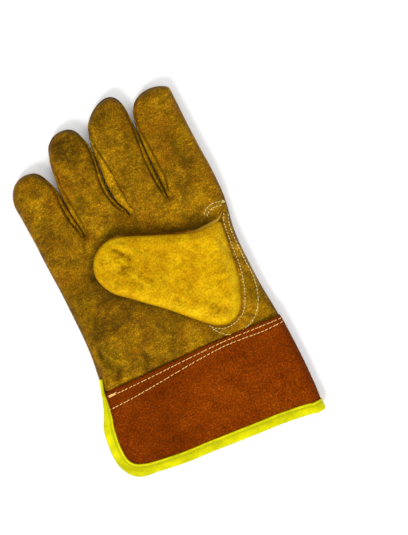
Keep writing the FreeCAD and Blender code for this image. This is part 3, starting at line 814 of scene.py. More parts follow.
def thumb_tint(verts):
    P = verts[:, :2]
    r = np.zeros(len(P))
    g = np.zeros(len(P))
    b = np.zeros(len(P))
    wob = 1 + 0.4 * waves(P, 9, 41)
    for x, y, a, c, s in [(-9, 17, 8, 9, 0.85), (-2, 8, 5, 12, 0.62), (-20, 24, 7, 9, 0.5), (-14, 34, 9, 4, 0.42), (-20, 9, 7, 5, 0.42),
                          (8, 2, 9, 6, 0.40), (14, -20, 6, 4, 0.5), (38, -38, 8, 4, 0.75), (24, -22, 12, 4, 0.34), (4, 24, 10, 5, 0.30),
                          (57, -30, 6, 6, 0.45), (26, 20, 12, 4, 0.28), (60, -8, 4, 22, 0.42), (36, 6, 8, 6, 0.24), (14, 12, 6, 10, 0.26), (50, -12, 5, 9, 0.24)]:
        # brown handling marks run along the slanting folds
        dx, dy = P[:, 0] - x, P[:, 1] - y
        ux, uy = dx * 0.6 - dy * 0.8, dx * 0.8 + dy * 0.6
        b = np.maximum(b, s * np.exp(-((ux / a) ** 2 + (uy / c) ** 2) * wob ** 2))
    d = dist_line(P, TH, closed=True)
    # painted shade along the rim of the thumb
    r = np.maximum(r, 0.45 * np.exp(-(d / 1.3) ** 2))
    # painted light in a band inside the thumb's lower edge
    near_low = np.exp(-((d - 4.5) / 3.2) ** 2) * smooth01((6 - P[:, 1] + 0.2 * P[:, 0]) / 20.0)
    g = np.maximum(g, 0.75 * near_low * (0.75 + 0.35 * waves(P, 12, 43)))
    # brown in the fold creases, handling marks with painted shade; painted highlight on the ridges
    for pts, h, wd in THUMB_FOLDS:
        c = crease(P, pts, 1.0, wd, 5.0)
        if h < 0:
            b = np.maximum(b, 0.8 * min(1, -h * 1.6) * c)
        else:
            g = np.maximum(g, 0.5 * min(1, h) * c)
    return np.stack([r, g, b], 1)


N, K = len(TH), len(TH_RING)
tv = np.concatenate([TG, zt.reshape(N, K, 1)], 2).reshape(-1, 3)
orient = np.cross(TH[1] - TH[0], TC[0] - TH[0]) > 0
yellow = shell("thumb_yellow_panel", tv, grid_faces(N, K, wrap_n=True, flip=not orient), 1.2, thumb_tint, weld=False)
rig.replaces(yellow, "thumb_outer_panel", "thumb_base_panel")
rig.slot(yellow, "suede_yellow")
yellow["look"] = "yellow"

# golden inner panel: the thumb's palm side, from the free edges down to just above the palm
zi_low = np.maximum(top_z(flat) + 0.55, 14.9)
zi = ze - (ze - zi_low) * dome(rim_d / 6.5, 2.2)


def inner_tint(verts):
    P = verts[:, :2]
    d = dist_line(P, TH, closed=True)
    # painted shade along the rim, over a random darker tone
    r = 0.45 * np.exp(-(d / 2.0) ** 2) + 0.30 * smooth01(0.2 + 0.8 * waves(P, 17, 47))
    g = 0.45 * smooth01(0.3 + 0.8 * waves(P, 13, 48))
    return np.stack([np.clip(r, 0, 1), g, np.zeros(len(P))], 1)


iv = np.concatenate([TG, zi.reshape(N, K, 1)], 2).reshape(-1, 3)
inner = shell("thumb_inner_panel_leather", iv, grid_faces(N, K, wrap_n=True, flip=orient), 1.0, inner_tint, weld=False)
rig.replaces(inner, "thumb_inner_panel", "thumb_side_strip")
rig.slot(inner, "leather_gold")
inner["look"] = "hand"


def surf_top(P):
    """Height of the yellow panel's upper surface at points on it (nearest grid value, averaged)."""
    P = np.asarray(P, float).reshape(-1, 2)
    out = np.zeros(len(P))
    for i in range(0, len(P), 500):
        d = ((P[i:i + 500, None, :] - flat_th[None]) ** 2).sum(2)
        k = np.argpartition(d, 4, axis=1)[:, :4]
        dd = np.take_along_axis(d, k, 1) + 1e-3
        out[i:i + 500] = (zt_th[k] / dd).sum(1) / (1 / dd).sum(1)
    return out


flat_th, zt_th = flat.copy(), zt.copy()


def sweep(name, path, profile, ups, closed_ends=True, tint=None, taper=None):
    """A closed profile carried along a path. profile is (side, up) in mm; ups is the up vector at each point."""
    P = np.asarray(path, float)
    T = np.gradient(P, axis=0)
    T /= np.linalg.norm(T, axis=1, keepdims=True)
    U = np.asarray(ups, float)
    S = np.cross(T, U)
    S /= np.linalg.norm(S, axis=1, keepdims=True)
    U = np.cross(S, T)
    prof = np.asarray(profile, float)
    k = np.ones(len(P)) if taper is None else taper
    V = P[:, None, :] + S[:, None, :] * (prof[None, :, 0:1] * k[:, None, None]) + U[:, None, :] * (prof[None, :, 1:2] * k[:, None, None])
    n, m = len(P), len(prof)
    faces = grid_faces(n, m, wrap_m=True)
    v = V.reshape(-1, 3)
    if closed_ends:
        faces = faces + [tuple(range(m))[::-1], tuple((n - 1) * m + i for i in range(m))]
    ob = mesh_object(name, v, faces)
    me = ob.data
    # make the faces look outward
    c = v.reshape(n, m, 3)[n // 2].mean(0)
    f = me.polygons[(n // 2) * m]
    if np.dot(np.array(f.normal), np.array(f.center) / MM - c) < 0:
        me.flip_normals()
    set_tint(ob, v, tint)
    return ob


def ellipse(a, b, n=12, lift=0.0):
    t = np.linspace(0, 2 * math.pi, n, endpoint=False)
    return np.stack([a * np.cos(t), lift + b * np.sin(t)], 1)


def flat_tint(r=0.0, g=0.0, b=0.0):
    def f(v):
        w = 0.5 + 0.5 * waves(v[:, :2], 6, 51)
        return np.stack([np.clip(r * (0.6 + 0.8 * w), 0, 1), g * w, b * w], 1)
    return f


def lip_tint(more):
    """Dark where the thumb shades it and darker on the lower fold under the upper one, both painted shade; tan fibres
    towards the crotch and at the start.
    """
    def f(v):
        x = v[:, 0]
        r = 0.85 * smooth01((x + 6) / 10.0) * smooth01((42 - x) / 16.0) + more
        g = smooth01((x - 40) / 16.0)
        return np.stack([np.clip(r, 0, 1), g, np.zeros(len(v))], 1)
    return f


# rolled tan seam along the upper edge, two folds of leather one above the other
lip = resample(A["LIP"], 150)
q = np.linspace(0, 1, len(lip))
lip_end = smooth01((q - 0.72) / 0.26)
lip_z = (19.9 + 0.8 * np.sin(np.pi * q)) * (1 - lip_end) + (top_z(lip, detail=False) + 0.2) * lip_end
ends = np.clip(np.minimum(q, 1 - q) / 0.08, 0.12, 1) ** 0.6 * (1 + 0.65 * np.exp(-((q - 0.84) / 0.10) ** 2))
nrm = np.gradient(lip, axis=0)
nrm = np.stack([-nrm[:, 1], nrm[:, 0]], 1)
nrm /= np.linalg.norm(nrm, axis=1, keepdims=True)
if nrm[60, 1] < 0:
    nrm = -nrm
wob = 0.22 * np.sin(q * 31) + 0.15 * np.sin(q * 57 + 1)
for i, (off, up, a, b, nm) in enumerate([(-1.0, 1.3, 0.75, 0.75, "thumb_rolled_edge_upper"), (-0.2, -0.3, 0.85, 0.85, "thumb_rolled_edge_lower")]):
    path = np.column_stack([lip + nrm * (off * (1 - 0.6 * lip_end) + wob * (0.8 if i else 0.5))[:, None], lip_z + up * (1 - 0.4 * lip_end) + 0.15 * np.sin(q * 23 + i)])
    ob = sweep(nm, path, ellipse(a, b, 14), np.tile([0, 0, 1.0], (len(path), 1)), tint=lip_tint(0.25 * i), taper=ends)
    if i == 0:
        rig.replaces(ob, "thumb_rolled_seam")
    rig.slot(ob, "leather_gold")
    ob["look"] = "lip"
THUMB_BLEND = dict(start=tuple((0.5 * (CH_A + CH_B) - ch_n * 3.0) * MM) + (0,), end=tuple((0.5 * (CH_A + CH_B) + ch_n * 19.0) * MM) + (0,))
for nm in ("thumb_yellow_panel", "thumb_inner_panel_leather", "thumb_rolled_edge_upper", "thumb_rolled_edge_lower"):
    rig.blend(bpy.data.objects[nm], "palm", "thumb", **THUMB_BLEND)

# golden reinforcement sewn round the thumb root
pin = resample(A["THUMB_BASE_LINE"], 180)
pout = resample(A["PATCH_OUT"], 180)
acr = np.array([-0.10, 0.0, 0.12, 0.3, 0.5, 0.7, 0.84, 0.93, 0.98, 1.0])
PG = pin[:, None, :] + (pout - pin)[:, None, :] * acr[None, :, None]
pf = PG.reshape(-1, 2)
dz = np.tile(np.array([0.7, 0.95, 1.05, 1.05, 1.0, 1.0, 1.0, 0.95, 0.75, 0.1]), len(pin))
pz = top_z(pf) + dz + 0.10 * waves(pf, 5, 61)
pe = np.minimum(np.arange(len(pin)), np.arange(len(pin))[::-1]) / 8.0
pz = pz - np.repeat(np.clip(1 - pe, 0, 1) * 0.7, len(acr))
patch = shell("thumb_root_patch", np.column_stack([pf, pz]), grid_faces(len(pin), len(acr), flip=False), 0.9, flat_tint(0.08, 0.9), weld=False)
if sum(p.normal.z for p in patch.data.polygons[:600]) < 0:
    patch.data.flip_normals()
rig.replaces(patch, "thumb_base_patch")
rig.slot(patch, "leather_gold")
patch["look"] = "hand"
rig.blend(patch, "palm", "cuff", **WRIST)


# ---------------------------------------------------------------- stitches
def stitches(name, path, height, pitch, length, radius, slot, nodes=(), jitter=0.12, up=0.18, normal=None, seed=5, look="cream"):
    """Separate sewn stitches along a line on a surface. height(points) gives the surface."""
    r = np.random.RandomState(seed)
    fine = resample(path, 900)
    s = np.r_[0, np.cumsum(np.linalg.norm(np.diff(fine, axis=0), axis=1))]
    V, F = [], []
    m, k = 7, 6
    for j, s0 in enumerate(np.arange(pitch * 0.4, s[-1] - length, pitch)):
        s0 = s0 + r.uniform(-jitter, jitter) * pitch
        ss = np.linspace(s0, s0 + length * r.uniform(0.9, 1.08), m)
        c = np.stack([np.interp(ss, s, fine[:, 0]), np.interp(ss, s, fine[:, 1])], 1)
        tang = c[-1] - c[0]
        tang /= max(np.linalg.norm(tang), 1e-6)
        side = np.array([-tang[1], tang[0]])
        slant = r.uniform(-0.10, 0.10) + 0.10
        c = c + side[None] * (np.linspace(-1, 1, m) * slant * 1.2)[:, None]
        if height is None:
            z = np.interp(ss, s, fine[:, 2]) if fine.shape[1] > 2 else np.zeros(m)
        else:
            z = height(c)
        prof = np.sin(np.linspace(0.06, math.pi - 0.06, m))
        sgn = 1.0 if normal is None else normal
        zc = z + sgn * (up * 2.2 * prof ** 0.6 - 0.22)
        rad = radius * (0.35 + 0.65 * prof ** 0.5)
        base = len(V)
        for i in range(m):
            for a in np.linspace(0, 2 * math.pi, k, endpoint=False):
                V.append((c[i, 0] + side[0] * rad[i] * math.cos(a), c[i, 1] + side[1] * rad[i] * math.cos(a), zc[i] + rad[i] * 0.8 * math.sin(a)))
        F += [tuple(x + base for x in q) for q in grid_faces(m, k, wrap_m=True, flip=True)]
        F.append(tuple(base + i for i in range(k)))
        F.append(tuple(base + (m - 1) * k + i for i in range(k))[::-1])
    ob = mesh_object(name, V, F)
    set_tint(ob, np.array(V), None)
    if nodes:
        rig.replaces(ob, *nodes)
    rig.slot(ob, slot)
    ob["look"] = look
    return ob


def patch_top(c):
    return top_z(c) + 1.15


for nm, key, pitch, ln, seed in (("thumb_seam_stitches_inner", "ROW_IN", 2.3, 1.5, 11), ("thumb_seam_stitches_outer", "ROW_OUT", 2.5, 1.9, 12)):
    ob = stitches(nm, A[key], patch_top, pitch, ln, 0.31, "thread_cream", ("thumb_seam_thread",) if key == "ROW_IN" else (), seed=seed)
    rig.blend(ob, "palm", "cuff", **WRIST)
for nm, key, seed in (("crotch_stitches_a", "CROTCH_A", 13), ("crotch_stitches_b", "CROTCH_B", 14)):
    ob = stitches(nm, A[key], lambda c: top_z(c) + 0.12, 2.5, 1.9, 0.34, "thread_cream", ("crotch_thread",) if key == "CROTCH_A" else (), seed=seed)
    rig.ride(ob, "palm")

# the knot at the crotch: a few short turns of thread and two cut ends
knot = []
kr = np.random.RandomState(19)
kc = np.array([72.6, 31.4, 0.0])
kc[2] = top_z(kc[None, :2])[0] + 0.6
V, F = [], []
for i in range(9):
    a = kr.uniform(0, 6.28)
    ln = kr.uniform(1.0, 2.4) if i < 7 else 2.8
    t = np.linspace(-1, 1, 7)
    d = np.array([math.cos(a), math.sin(a), kr.uniform(-0.2, 0.5)])
    c0 = kc + kr.uniform(-0.7, 0.7, 3) * np.array([1, 1, 0.6])
    pts = c0[None] + d[None] * (t * ln * 0.5)[:, None] + np.array([0, 0, 0.5])[None] * (1 - t ** 2)[:, None]
    side = np.array([-d[1], d[0], 0])
    side /= np.linalg.norm(side)
    upv = np.cross(d / np.linalg.norm(d), side)
    rad = 0.32 * (1 - 0.5 * t ** 4)
    base = len(V)
    for j in range(7):
        for an in np.linspace(0, 2 * math.pi, 6, endpoint=False):
            V.append(pts[j] + side * rad[j] * math.cos(an) + upv * rad[j] * math.sin(an))
    F += [tuple(x + base for x in q) for q in grid_faces(7, 6, wrap_m=True)]
    F.append(tuple(base + j for j in range(6))[::-1])
    F.append(tuple(base + 36 + j for j in range(6)))
ob = mesh_object("crotch_knot", V, F)
set_tint(ob, np.array(V), None)
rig.slot(ob, "thread_cream")
ob["look"] = "cream"
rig.ride(ob, "palm")

# ---------------------------------------------------------------- cuff
CT, CL, CB, CR = (resample(A[k], 400) for k in ("CUFF_T", "CUFF_L", "CUFF_B", "CUFF_R"))
CUFF_ZS = 7.6


def along(curve, u):
    s = np.r_[0, np.cumsum(np.linalg.norm(np.diff(curve, axis=0), axis=1))]
    s /= s[-1]
    return np.stack([np.interp(u, s, curve[:, k]) for k in range(curve.shape[1])], -1)


def cuff_front_z(P):
    P = np.asarray(P, float).reshape(-1, 2)
    dr = np.interp(P[:, 1], CR[::-1, 1], CR[::-1, 0]) - P[:, 0]
    dl = dist_line(P, CL)
    down = smooth01((-56.0 - P[:, 1]) / 60.0)            # 0 at the wrist, 1 near the hem
    level = 14.4 - 0.3 * down
    z = CUFF_ZS + (level - CUFF_ZS) * dome(np.clip(dr, 0, None) / 9.5, 2.3)
    z = z - (3.0 + 0.6 * down) * (1 - smooth01(dl / (15.0 + 8 * down))) * smooth01((dr - 20) / 30)
    z = z + np.clip(dr / 8, 0, 1) * (0.30 * waves(P, 42, 71) + 0.12 * waves(P, 13, 72))
    return z


def cuff_back_z(P):
    P = np.asarray(P, float).reshape(-1, 2)
    dr = np.interp(P[:, 1], CR[::-1, 1], CR[::-1, 0]) - P[:, 0]
    z = CUFF_ZS - (CUFF_ZS - 1.35) * dome(np.clip(dr, 0, None) / 9.5, 2.3)
    dl = dist_line(P, CL)
    return z + 0.9 * (1 - smooth01(dl / 12.0)) * smooth01((dr - 20) / 30) + np.clip(dr / 8, 0, 1) * 0.12 * (waves(P, 30, 73) + 1)


us = np.r_[np.linspace(0, 0.06, 7)[:-1], np.linspace(0.06, 0.90, 72)[:-1], 1 - 0.10 * (1 - np.linspace(0, 1, 26)) ** 1.7]
vs = np.r_[np.linspace(0, 0.90, 62)[:-1], np.linspace(0.90, 1, 14)]
U, Vv = np.meshgrid(us, vs)
t_, b_, l_, r_ = along(CT, us), along(CB, us), along(CL, vs), along(CR, vs)
Gc = ((1 - Vv)[..., None] * t_[None] + Vv[..., None] * b_[None] + (1 - U)[..., None] * l_[:, None] + U[..., None] * r_[:, None]
      - (1 - U)[..., None] * (1 - Vv)[..., None] * t_[0] - U[..., None] * (1 - Vv)[..., None] * t_[-1]
      - (1 - U)[..., None] * Vv[..., None] * b_[0] - U[..., None] * Vv[..., None] * b_[-1])
nv, nu = len(vs), len(us)
cf = Gc.reshape(-1, 2)
FZ = cuff_front_z(cf).reshape(nv, nu)
BZ = cuff_back_z(cf).reshape(nv, nu)
lift = np.zeros(nv)


def back_shift(P):
    """The rear layer lies a little lower and further left at the open corner, so its tape peeks out."""
    P = np.asarray(P, float).reshape(-1, 2)
    w = np.exp(-((P[:, 0] + 66) / 16.0) ** 2) * smooth01((-100.0 - P[:, 1]) / 16.0)
    w2 = smooth01((CR[0, 0] - 20 - P[:, 0]) / 30.0)
    return np.stack([-0.4 * w, -2.0 * w - 0.3 * w2 * smooth01((-100.0 - P[:, 1]) / 20.0)], 1)


Gback = Gc + back_shift(cf).reshape(nv, nu, 2)
front = np.concatenate([Gc, FZ[..., None]], 2)
back = np.concatenate([Gback, BZ[..., None]], 2)[:, ::-1]
back[:, 0, 2] = front[:, -1, 2]
both = np.concatenate([front, back[:, 1:]], 1)


def cuff_tint(verts):
    P = verts[:, :2]
    # painted shadow along the cuff's top edge, where it steps over the hand leather
    r = 0.42 * np.exp(-(dist_line(P, A["CUFF_T"]) / 1.3) ** 2)
    # painted shade above the raised tape along the hem
    r = np.maximum(r, 0.34 * smooth01(1 - dist_line(P, resample(A["CUFF_B"], 60)) / 16.0) * (0.7 + 0.3 * waves(P, 9, 81)))
    r = np.maximum(r, 0.40 * smooth01(1 - dist_line(P, resample(A["CUFF_R"], 60)) / 7.0))
    r = np.maximum(r, 0.25 * smooth01(1 - dist_line(P, resample(A["CUFF_L"], 60)) / 14.0))
    g = 0.6 * np.exp(-(((P[:, 0] - 8) / 55) ** 2 + ((P[:, 1] + 92) / 22) ** 2)) * (0.8 + 0.5 * waves(P, 14, 82))
    for k in ("CUFF_ROW_1", "CUFF_ROW_2"):
        r = np.maximum(r, 0.35 * np.exp(-(dist_line(P, A[k]) / 0.9) ** 2))
    return np.stack([r, np.clip(g, 0, 1), np.zeros(len(P))], 1)


cuff = shell("cuff_leather", both.reshape(-1, 3), grid_faces(nv, both.shape[1], flip=False), 1.6, cuff_tint, weld=False)
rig.replaces(cuff, "cuff_panel")
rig.slot(cuff, "suede_russet")
cuff["look"] = "russet"
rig.ride(cuff, "cuff")

# ---------------------------------------------------------------- binding tape
# The path goes down the front edge of the slit, along the front hem, round the fold,
# back along the rear hem and up the rear edge of the slit.
def hem_nodes():
    left = A["CUFF_L"]
    up = np.array([(-61.3, -46.5), (-63.0, -53.0)])
    front_edge = np.vstack([up, left[1:-1]])
    front_edge[1] = (-64.2, -55.5)
    hem = A["CUFF_B"][:-1]
    return np.vstack([front_edge, hem])


fp = resample(hem_nodes(), 300)
T2 = np.gradient(fp, axis=0)
T2 /= np.linalg.norm(T2, axis=1, keepdims=True)
IN2 = np.stack([-T2[:, 1], T2[:, 0]], 1)          # into the panel
hemness = smooth01((fp[:, 0] + 62) / 12.0)[:, None] * (fp[:, 1] < -112)[:, None]
IN2 = IN2 * (1 - hemness) + np.array([0, 1.0]) * hemness
IN2 /= np.linalg.norm(IN2, axis=1, keepdims=True)
hem_x = CR[-1, 0]

# width of tape seen on the outer face, full on the hem, narrower where it runs up into the wrist
s_len = np.r_[0, np.cumsum(np.linalg.norm(np.diff(fp, axis=0), axis=1))]
wid = 7.6 * smooth01((s_len - 6) / 34.0) + 2.0 * (1 - smooth01((s_len - 6) / 34.0))
TAPE = [(1.0, 0.05), (0.985, 0.55), (0.94, 0.86), (0.86, 0.84), (0.79, 0.58), (0.72, 0.46), (0.65, 0.60), (0.57, 0.90), (0.42, 1.04), (0.22, 1.02), (0.07, 0.86), (-0.04, 0.5)]


def tape_rings(i, zf, nsign, half, w):
    """Profile points of the folded tape at each place: outer leg, fold, inner leg."""
    seq = [(x, h, 1) for x, h in TAPE] + [(x, h, -1) for x, h in TAPE[::-1]]
    q = fp[i][:, None, :] + IN2[i][:, None, :] * (np.array([max(x, -0.04) for x, h, k in seq])[None, :, None] * w[:, None, None])
    z = zf(q.reshape(-1, 2)).reshape(q.shape[:2])
    if nsign < 0:
        q = q + back_shift(q.reshape(-1, 2)).reshape(q.shape)
    off = np.array([nsign * (h if k == 1 else -(half + h)) for x, h, k in seq])
    return list(np.concatenate([q, (z + off[None])[..., None]], 2))


def fold_ring(x_off, sign):
    """The tape where the hem goes round the fold: x_off is the distance in from the fold line."""
    pts = []
    y0 = CB[-1, 1]
    for leg in (1, -1):
        seq = TAPE if leg == 1 else TAPE[::-1]
        for a, h in seq:
            y = y0 + a * 7.6 + 0.35
            xr = np.interp(y, CR[::-1, 1], CR[::-1, 0])
            dome_z = dome(np.array([x_off / 9.5]), 2.3)[0]
            if sign > 0:
                z = CUFF_ZS + (cuff_front_z([[xr - 12, y]])[0] - CUFF_ZS) * dome_z / dome(np.array([12 / 9.5]), 2.3)[0]
            else:
                z = CUFF_ZS + (cuff_back_z([[xr - 12, y]])[0] - CUFF_ZS) * dome_z / dome(np.array([12 / 9.5]), 2.3)[0]
            slope = smooth01(x_off / 7.0)
            nx, nz = math.cos(slope * math.pi / 2), sign * math.sin(slope * math.pi / 2)
            off = h if leg == 1 else -(1.6 + h)
            pts.append((xr - x_off + nx * off, y, z + nz * off))
    return pts


xr_end = 8.0
stop = np.where((CR[-1, 0] - fp[:, 0] < xr_end) & (fp[:, 1] < -120))[0][0]
rings_list = tape_rings(np.arange(stop), cuff_front_z, 1, 1.6, wid[:stop])
cut = len(rings_list)
for x_off in np.r_[np.linspace(xr_end - 0.8, 0.8, 12), [0.35, 0.0]]:
    rings_list.append(fold_ring(x_off, 1))
for x_off in np.r_[[0.35], np.linspace(0.8, xr_end - 0.8, 12)]:
    rings_list.append(fold_ring(x_off, -1))
back_i = np.arange(cut - 1, -1, -1)
rings_list += tape_rings(back_i, cuff_back_z, -1, 1.6, np.where(back_i > 60, wid[back_i], 2.4))
R3 = np.array(rings_list)
# soften: the tape's line wavers by hand sewing
n, m = R3.shape[:2]
wv = 0.16 * np.sin(np.linspace(0, 46, n)) + 0.10 * np.sin(np.linspace(0, 103, n) + 2)
R3[:, :, 1] += wv[:, None] * 0.6
tf = grid_faces(n, m, wrap_m=True)
tf += [tuple(range(m))[::-1], tuple((n - 1) * m + i for i in range(m))]


def tape_tint(v):
    P = v[:, :2]
    r = 0.22 * (0.5 + 0.5 * waves(P, 11, 91))
    prof = np.tile(np.array([x for x, h in TAPE] + [x for x, h in TAPE[::-1]]), len(P) // (2 * len(TAPE)) + 1)[:len(P)]
    r = np.maximum(r, 0.55 * np.exp(-((prof - 0.72) / 0.10) ** 2))
    r = np.maximum(r, 0.35 * (prof < 0.0))
    # painted shade in the crease at the rounded corner of the slit
    r = np.maximum(r, 0.5 * np.exp(-(dist_line(P, [(-75.5, -105.5), (-71.0, -112.0), (-62.0, -118.0)]) / 1.6) ** 2))
    return np.stack([r, np.zeros(len(P)), np.zeros(len(P))], 1)


binding = mesh_object("cuff_binding_tape", R3.reshape(-1, 3), tf)
set_tint(binding, R3.reshape(-1, 3), tape_tint)
c0 = R3[n // 3].mean(0)
fpoly = binding.data.polygons[(n // 3) * m + 3]
if np.dot(np.array(fpoly.normal), np.array(fpoly.center) / MM - c0) < 0:
    binding.data.flip_normals()
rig.replaces(binding, "cuff_binding")
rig.slot(binding, "binding_tape")
binding["look"] = "tape"
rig.blend(binding, "palm", "cuff", **WRIST)

# stitches of the cuff
for nm, key, seed in (("cuff_stitches_upper", "CUFF_ROW_1", 21), ("cuff_stitches_lower", "CUFF_ROW_2", 22)):
    ob = stitches(nm, A[key], lambda c: cuff_front_z(c) + 0.10, 3.0, 2.4, 0.33, "thread_cuff", ("cuff_seam_thread",) if key == "CUFF_ROW_1" else (), seed=seed, look="pink")
    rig.ride(ob, "cuff")
for nm, key, seed in (("cuff_stitches_back_upper", "CUFF_ROW_1", 23), ("cuff_stitches_back_lower", "CUFF_ROW_2", 24)):
    ob = stitches(nm, A[key], lambda c: cuff_back_z(c) - 0.1, 3.0, 2.4, 0.33, "thread_cuff", seed=seed, normal=-1, look="pink")
    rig.ride(ob, "cuff")
hem_line = fp[24:cut] + IN2[24:cut] * (wid[24:cut] * 0.72)[:, None]
ob = stitches("binding_stitches", hem_line[::6], lambda c: cuff_front_z(c) + 0.42, 2.3, 1.7, 0.30, "thread_lime", ("binding_thread",), seed=25, look="lime")
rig.ride(ob, "cuff")
# back-tacked start of the cuff seam: a small bundle of stitches over each other
V = []
for i, (x, y) in enumerate([(-60.2, -59.6), (-59.4, -60.4), (-59.9, -61.3), (-57.4, -59.9), (-58.8, -61.0)]):
    ob = stitches("cuff_backtack_%d" % (i + 1), np.array([(x - 4.4, y - 0.2), (x, y + 0.35 * (i % 3)), (x + 4.6, y + 0.2 * i)]), lambda c: cuff_front_z(c) + 0.30 + 0.12 * i, 9.2, 4.2, 0.36, "thread_cuff", seed=30 + i, look="pink", jitter=0.0)
    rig.ride(ob, "cuff")

# ---------------------------------------------------------------- welts and stitches of the back
for nm, line, node, seed in (("back_welt_index", SEAMA, "back_seam_welt_index", 41), ("back_welt_ring", SEAMB, "back_seam_welt_ring", 42)):
    z = bottom_z(line)
    path = np.column_stack([line, z - 0.1])
    q = np.linspace(0, 1, len(path))
    ob = sweep(nm, path, [(-1.1, 0.35), (-1.15, -0.35), (-0.5, -0.7), (0.5, -0.75), (1.15, -0.35), (1.1, 0.35)], np.tile([0, 0, 1.0], (len(path), 1)), tint=flat_tint(0.2, 0.4))
    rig.replaces(ob, node)
    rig.slot(ob, "leather_raw_edge")
    ob["look"] = "raw"
    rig.blend(ob, "palm", "cuff", **WRIST)
    off = np.gradient(line, axis=0)
    off = np.stack([-off[:, 1], off[:, 0]], 1)
    off /= np.linalg.norm(off, axis=1, keepdims=True)
    sgn = 1 if nm == "back_welt_ring" else -1
    row = (line + off * 2.2 * sgn)[4:-20:4]
    ob = stitches(nm.replace("welt", "stitches"), row, lambda c: bottom_z(c), 2.9, 2.0, 0.36, "thread_cream", ("back_seam_thread",) if sgn == 1 else (), seed=seed, normal=-1)
    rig.blend(ob, "palm", "cuff", **WRIST)

agree_normals()


# ---------------------------------------------------------------- materials
def lin(r, g, b):
    f = lambda c: ((c / 255 + 0.055) / 1.055) ** 2.4 if c / 255 > 0.04045 else c / 255 / 12.92
    return (f(r), f(g), f(b), 1.0)


class Mat:
    """A node material, with short calls for the few node kinds used here."""

    def __init__(self, name):
        self.m = bpy.data.materials.new(name)
        self.m.use_nodes = True
        self.t = self.m.node_tree
        self.bsdf = self.t.nodes["Principled BSDF"]
        self.co = self.t.nodes.new("ShaderNodeTexCoord").outputs["Object"]

    def new(self, kind, **props):
        n = self.t.nodes.new(kind)
        for k, v in props.items():
            setattr(n, k, v)
        return n

    def link(self, a, b):
        self.t.links.new(a, b)

    def put(self, sock, v):
        if hasattr(v, "is_linked"):
            self.link(v, sock)
        else:
            sock.default_value = v

    def scale(self, x, y, z, rot=0.0):
        n = self.new("ShaderNodeMapping")
        n.inputs["Scale"].default_value = (x, y, z)
        n.inputs["Rotation"].default_value = (0, 0, rot)
        self.link(self.co, n.inputs["Vector"])
        return n.outputs[0]

    def noise(self, size_mm, detail=3.0, rough=0.55, dist=0.0, vec=None):
        n = self.new("ShaderNodeTexNoise")
        n.inputs["Scale"].default_value = 1000.0 / size_mm
        n.inputs["Detail"].default_value = detail
        n.inputs["Roughness"].default_value = rough
        n.inputs["Distortion"].default_value = dist
        self.link(vec or self.co, n.inputs["Vector"])
        return n.outputs["Fac"]

    def cells(self, size_mm, feature="F1", rand=1.0, vec=None):
        n = self.new("ShaderNodeTexVoronoi", feature=feature)
        n.inputs["Scale"].default_value = 1000.0 / size_mm
        n.inputs["Randomness"].default_value = rand
        self.link(vec or self.co, n.inputs["Vector"])
        return n.outputs["Distance"]

    def ramp(self, fac, stops):
        n = self.new("ShaderNodeValToRGB")
        e = n.color_ramp.elements
        while len(e) < len(stops):
            e.new(0.5)
        for el, (p, c) in zip(e, stops):
            el.position = p
            el.color = c if len(c) == 4 else (*c, 1)
        self.link(fac, n.inputs[0])
        return n.outputs[0]

    def remap(self, v, a, b, c=0.0, d=1.0):
        n = self.new("ShaderNodeMapRange", interpolation_type="SMOOTHSTEP")
        for i, x in zip((1, 2, 3, 4), (a, b, c, d)):
            n.inputs[i].default_value = x
        self.link(v, n.inputs[0])
        return n.outputs[0]

    def mix(self, fac, a, b, mode="MIX"):
        n = self.new("ShaderNodeMix", data_type="RGBA", blend_type=mode)
        self.put(n.inputs[0], fac)
        self.put(n.inputs[6], a)
        self.put(n.inputs[7], b)
        return n.outputs[2]

    def math(self, op, a, b=0.0, clamp=False):
        n = self.new("ShaderNodeMath", operation=op, use_clamp=clamp)
        self.put(n.inputs[0], a)
        self.put(n.inputs[1], b)
        return n.outputs[0]

    def times(self, colour, factor):
        n = self.new("ShaderNodeVectorMath", operation="SCALE")
        self.link(colour, n.inputs[0])
        self.put(n.inputs["Scale"], factor)
        return n.outputs[0]

    def tint(self):
        n = self.new("ShaderNodeVertexColor", layer_name="tint")
        s = self.new("ShaderNodeSeparateColor")
        self.link(n.outputs["Color"], s.inputs[0])
        return s.outputs[0], s.outputs[1], s.outputs[2]

    def finish(self, colour, rough, height=None, strength=0.3, dist_mm=0.3, **const):
        self.put(self.bsdf.inputs["Base Color"], colour)
        self.put(self.bsdf.inputs["Roughness"], rough)
        for k, v in const.items():
            self.bsdf.inputs[k.replace("_", " ")].default_value = v
        if height is not None:
            b = self.new("ShaderNodeBump")
            b.inputs["Strength"].default_value = strength
            b.inputs["Distance"].default_value = dist_mm * MM
            self.link(height, b.inputs["Height"])
            self.link(b.outputs[0], self.bsdf.inputs["Normal"])
        return self.m


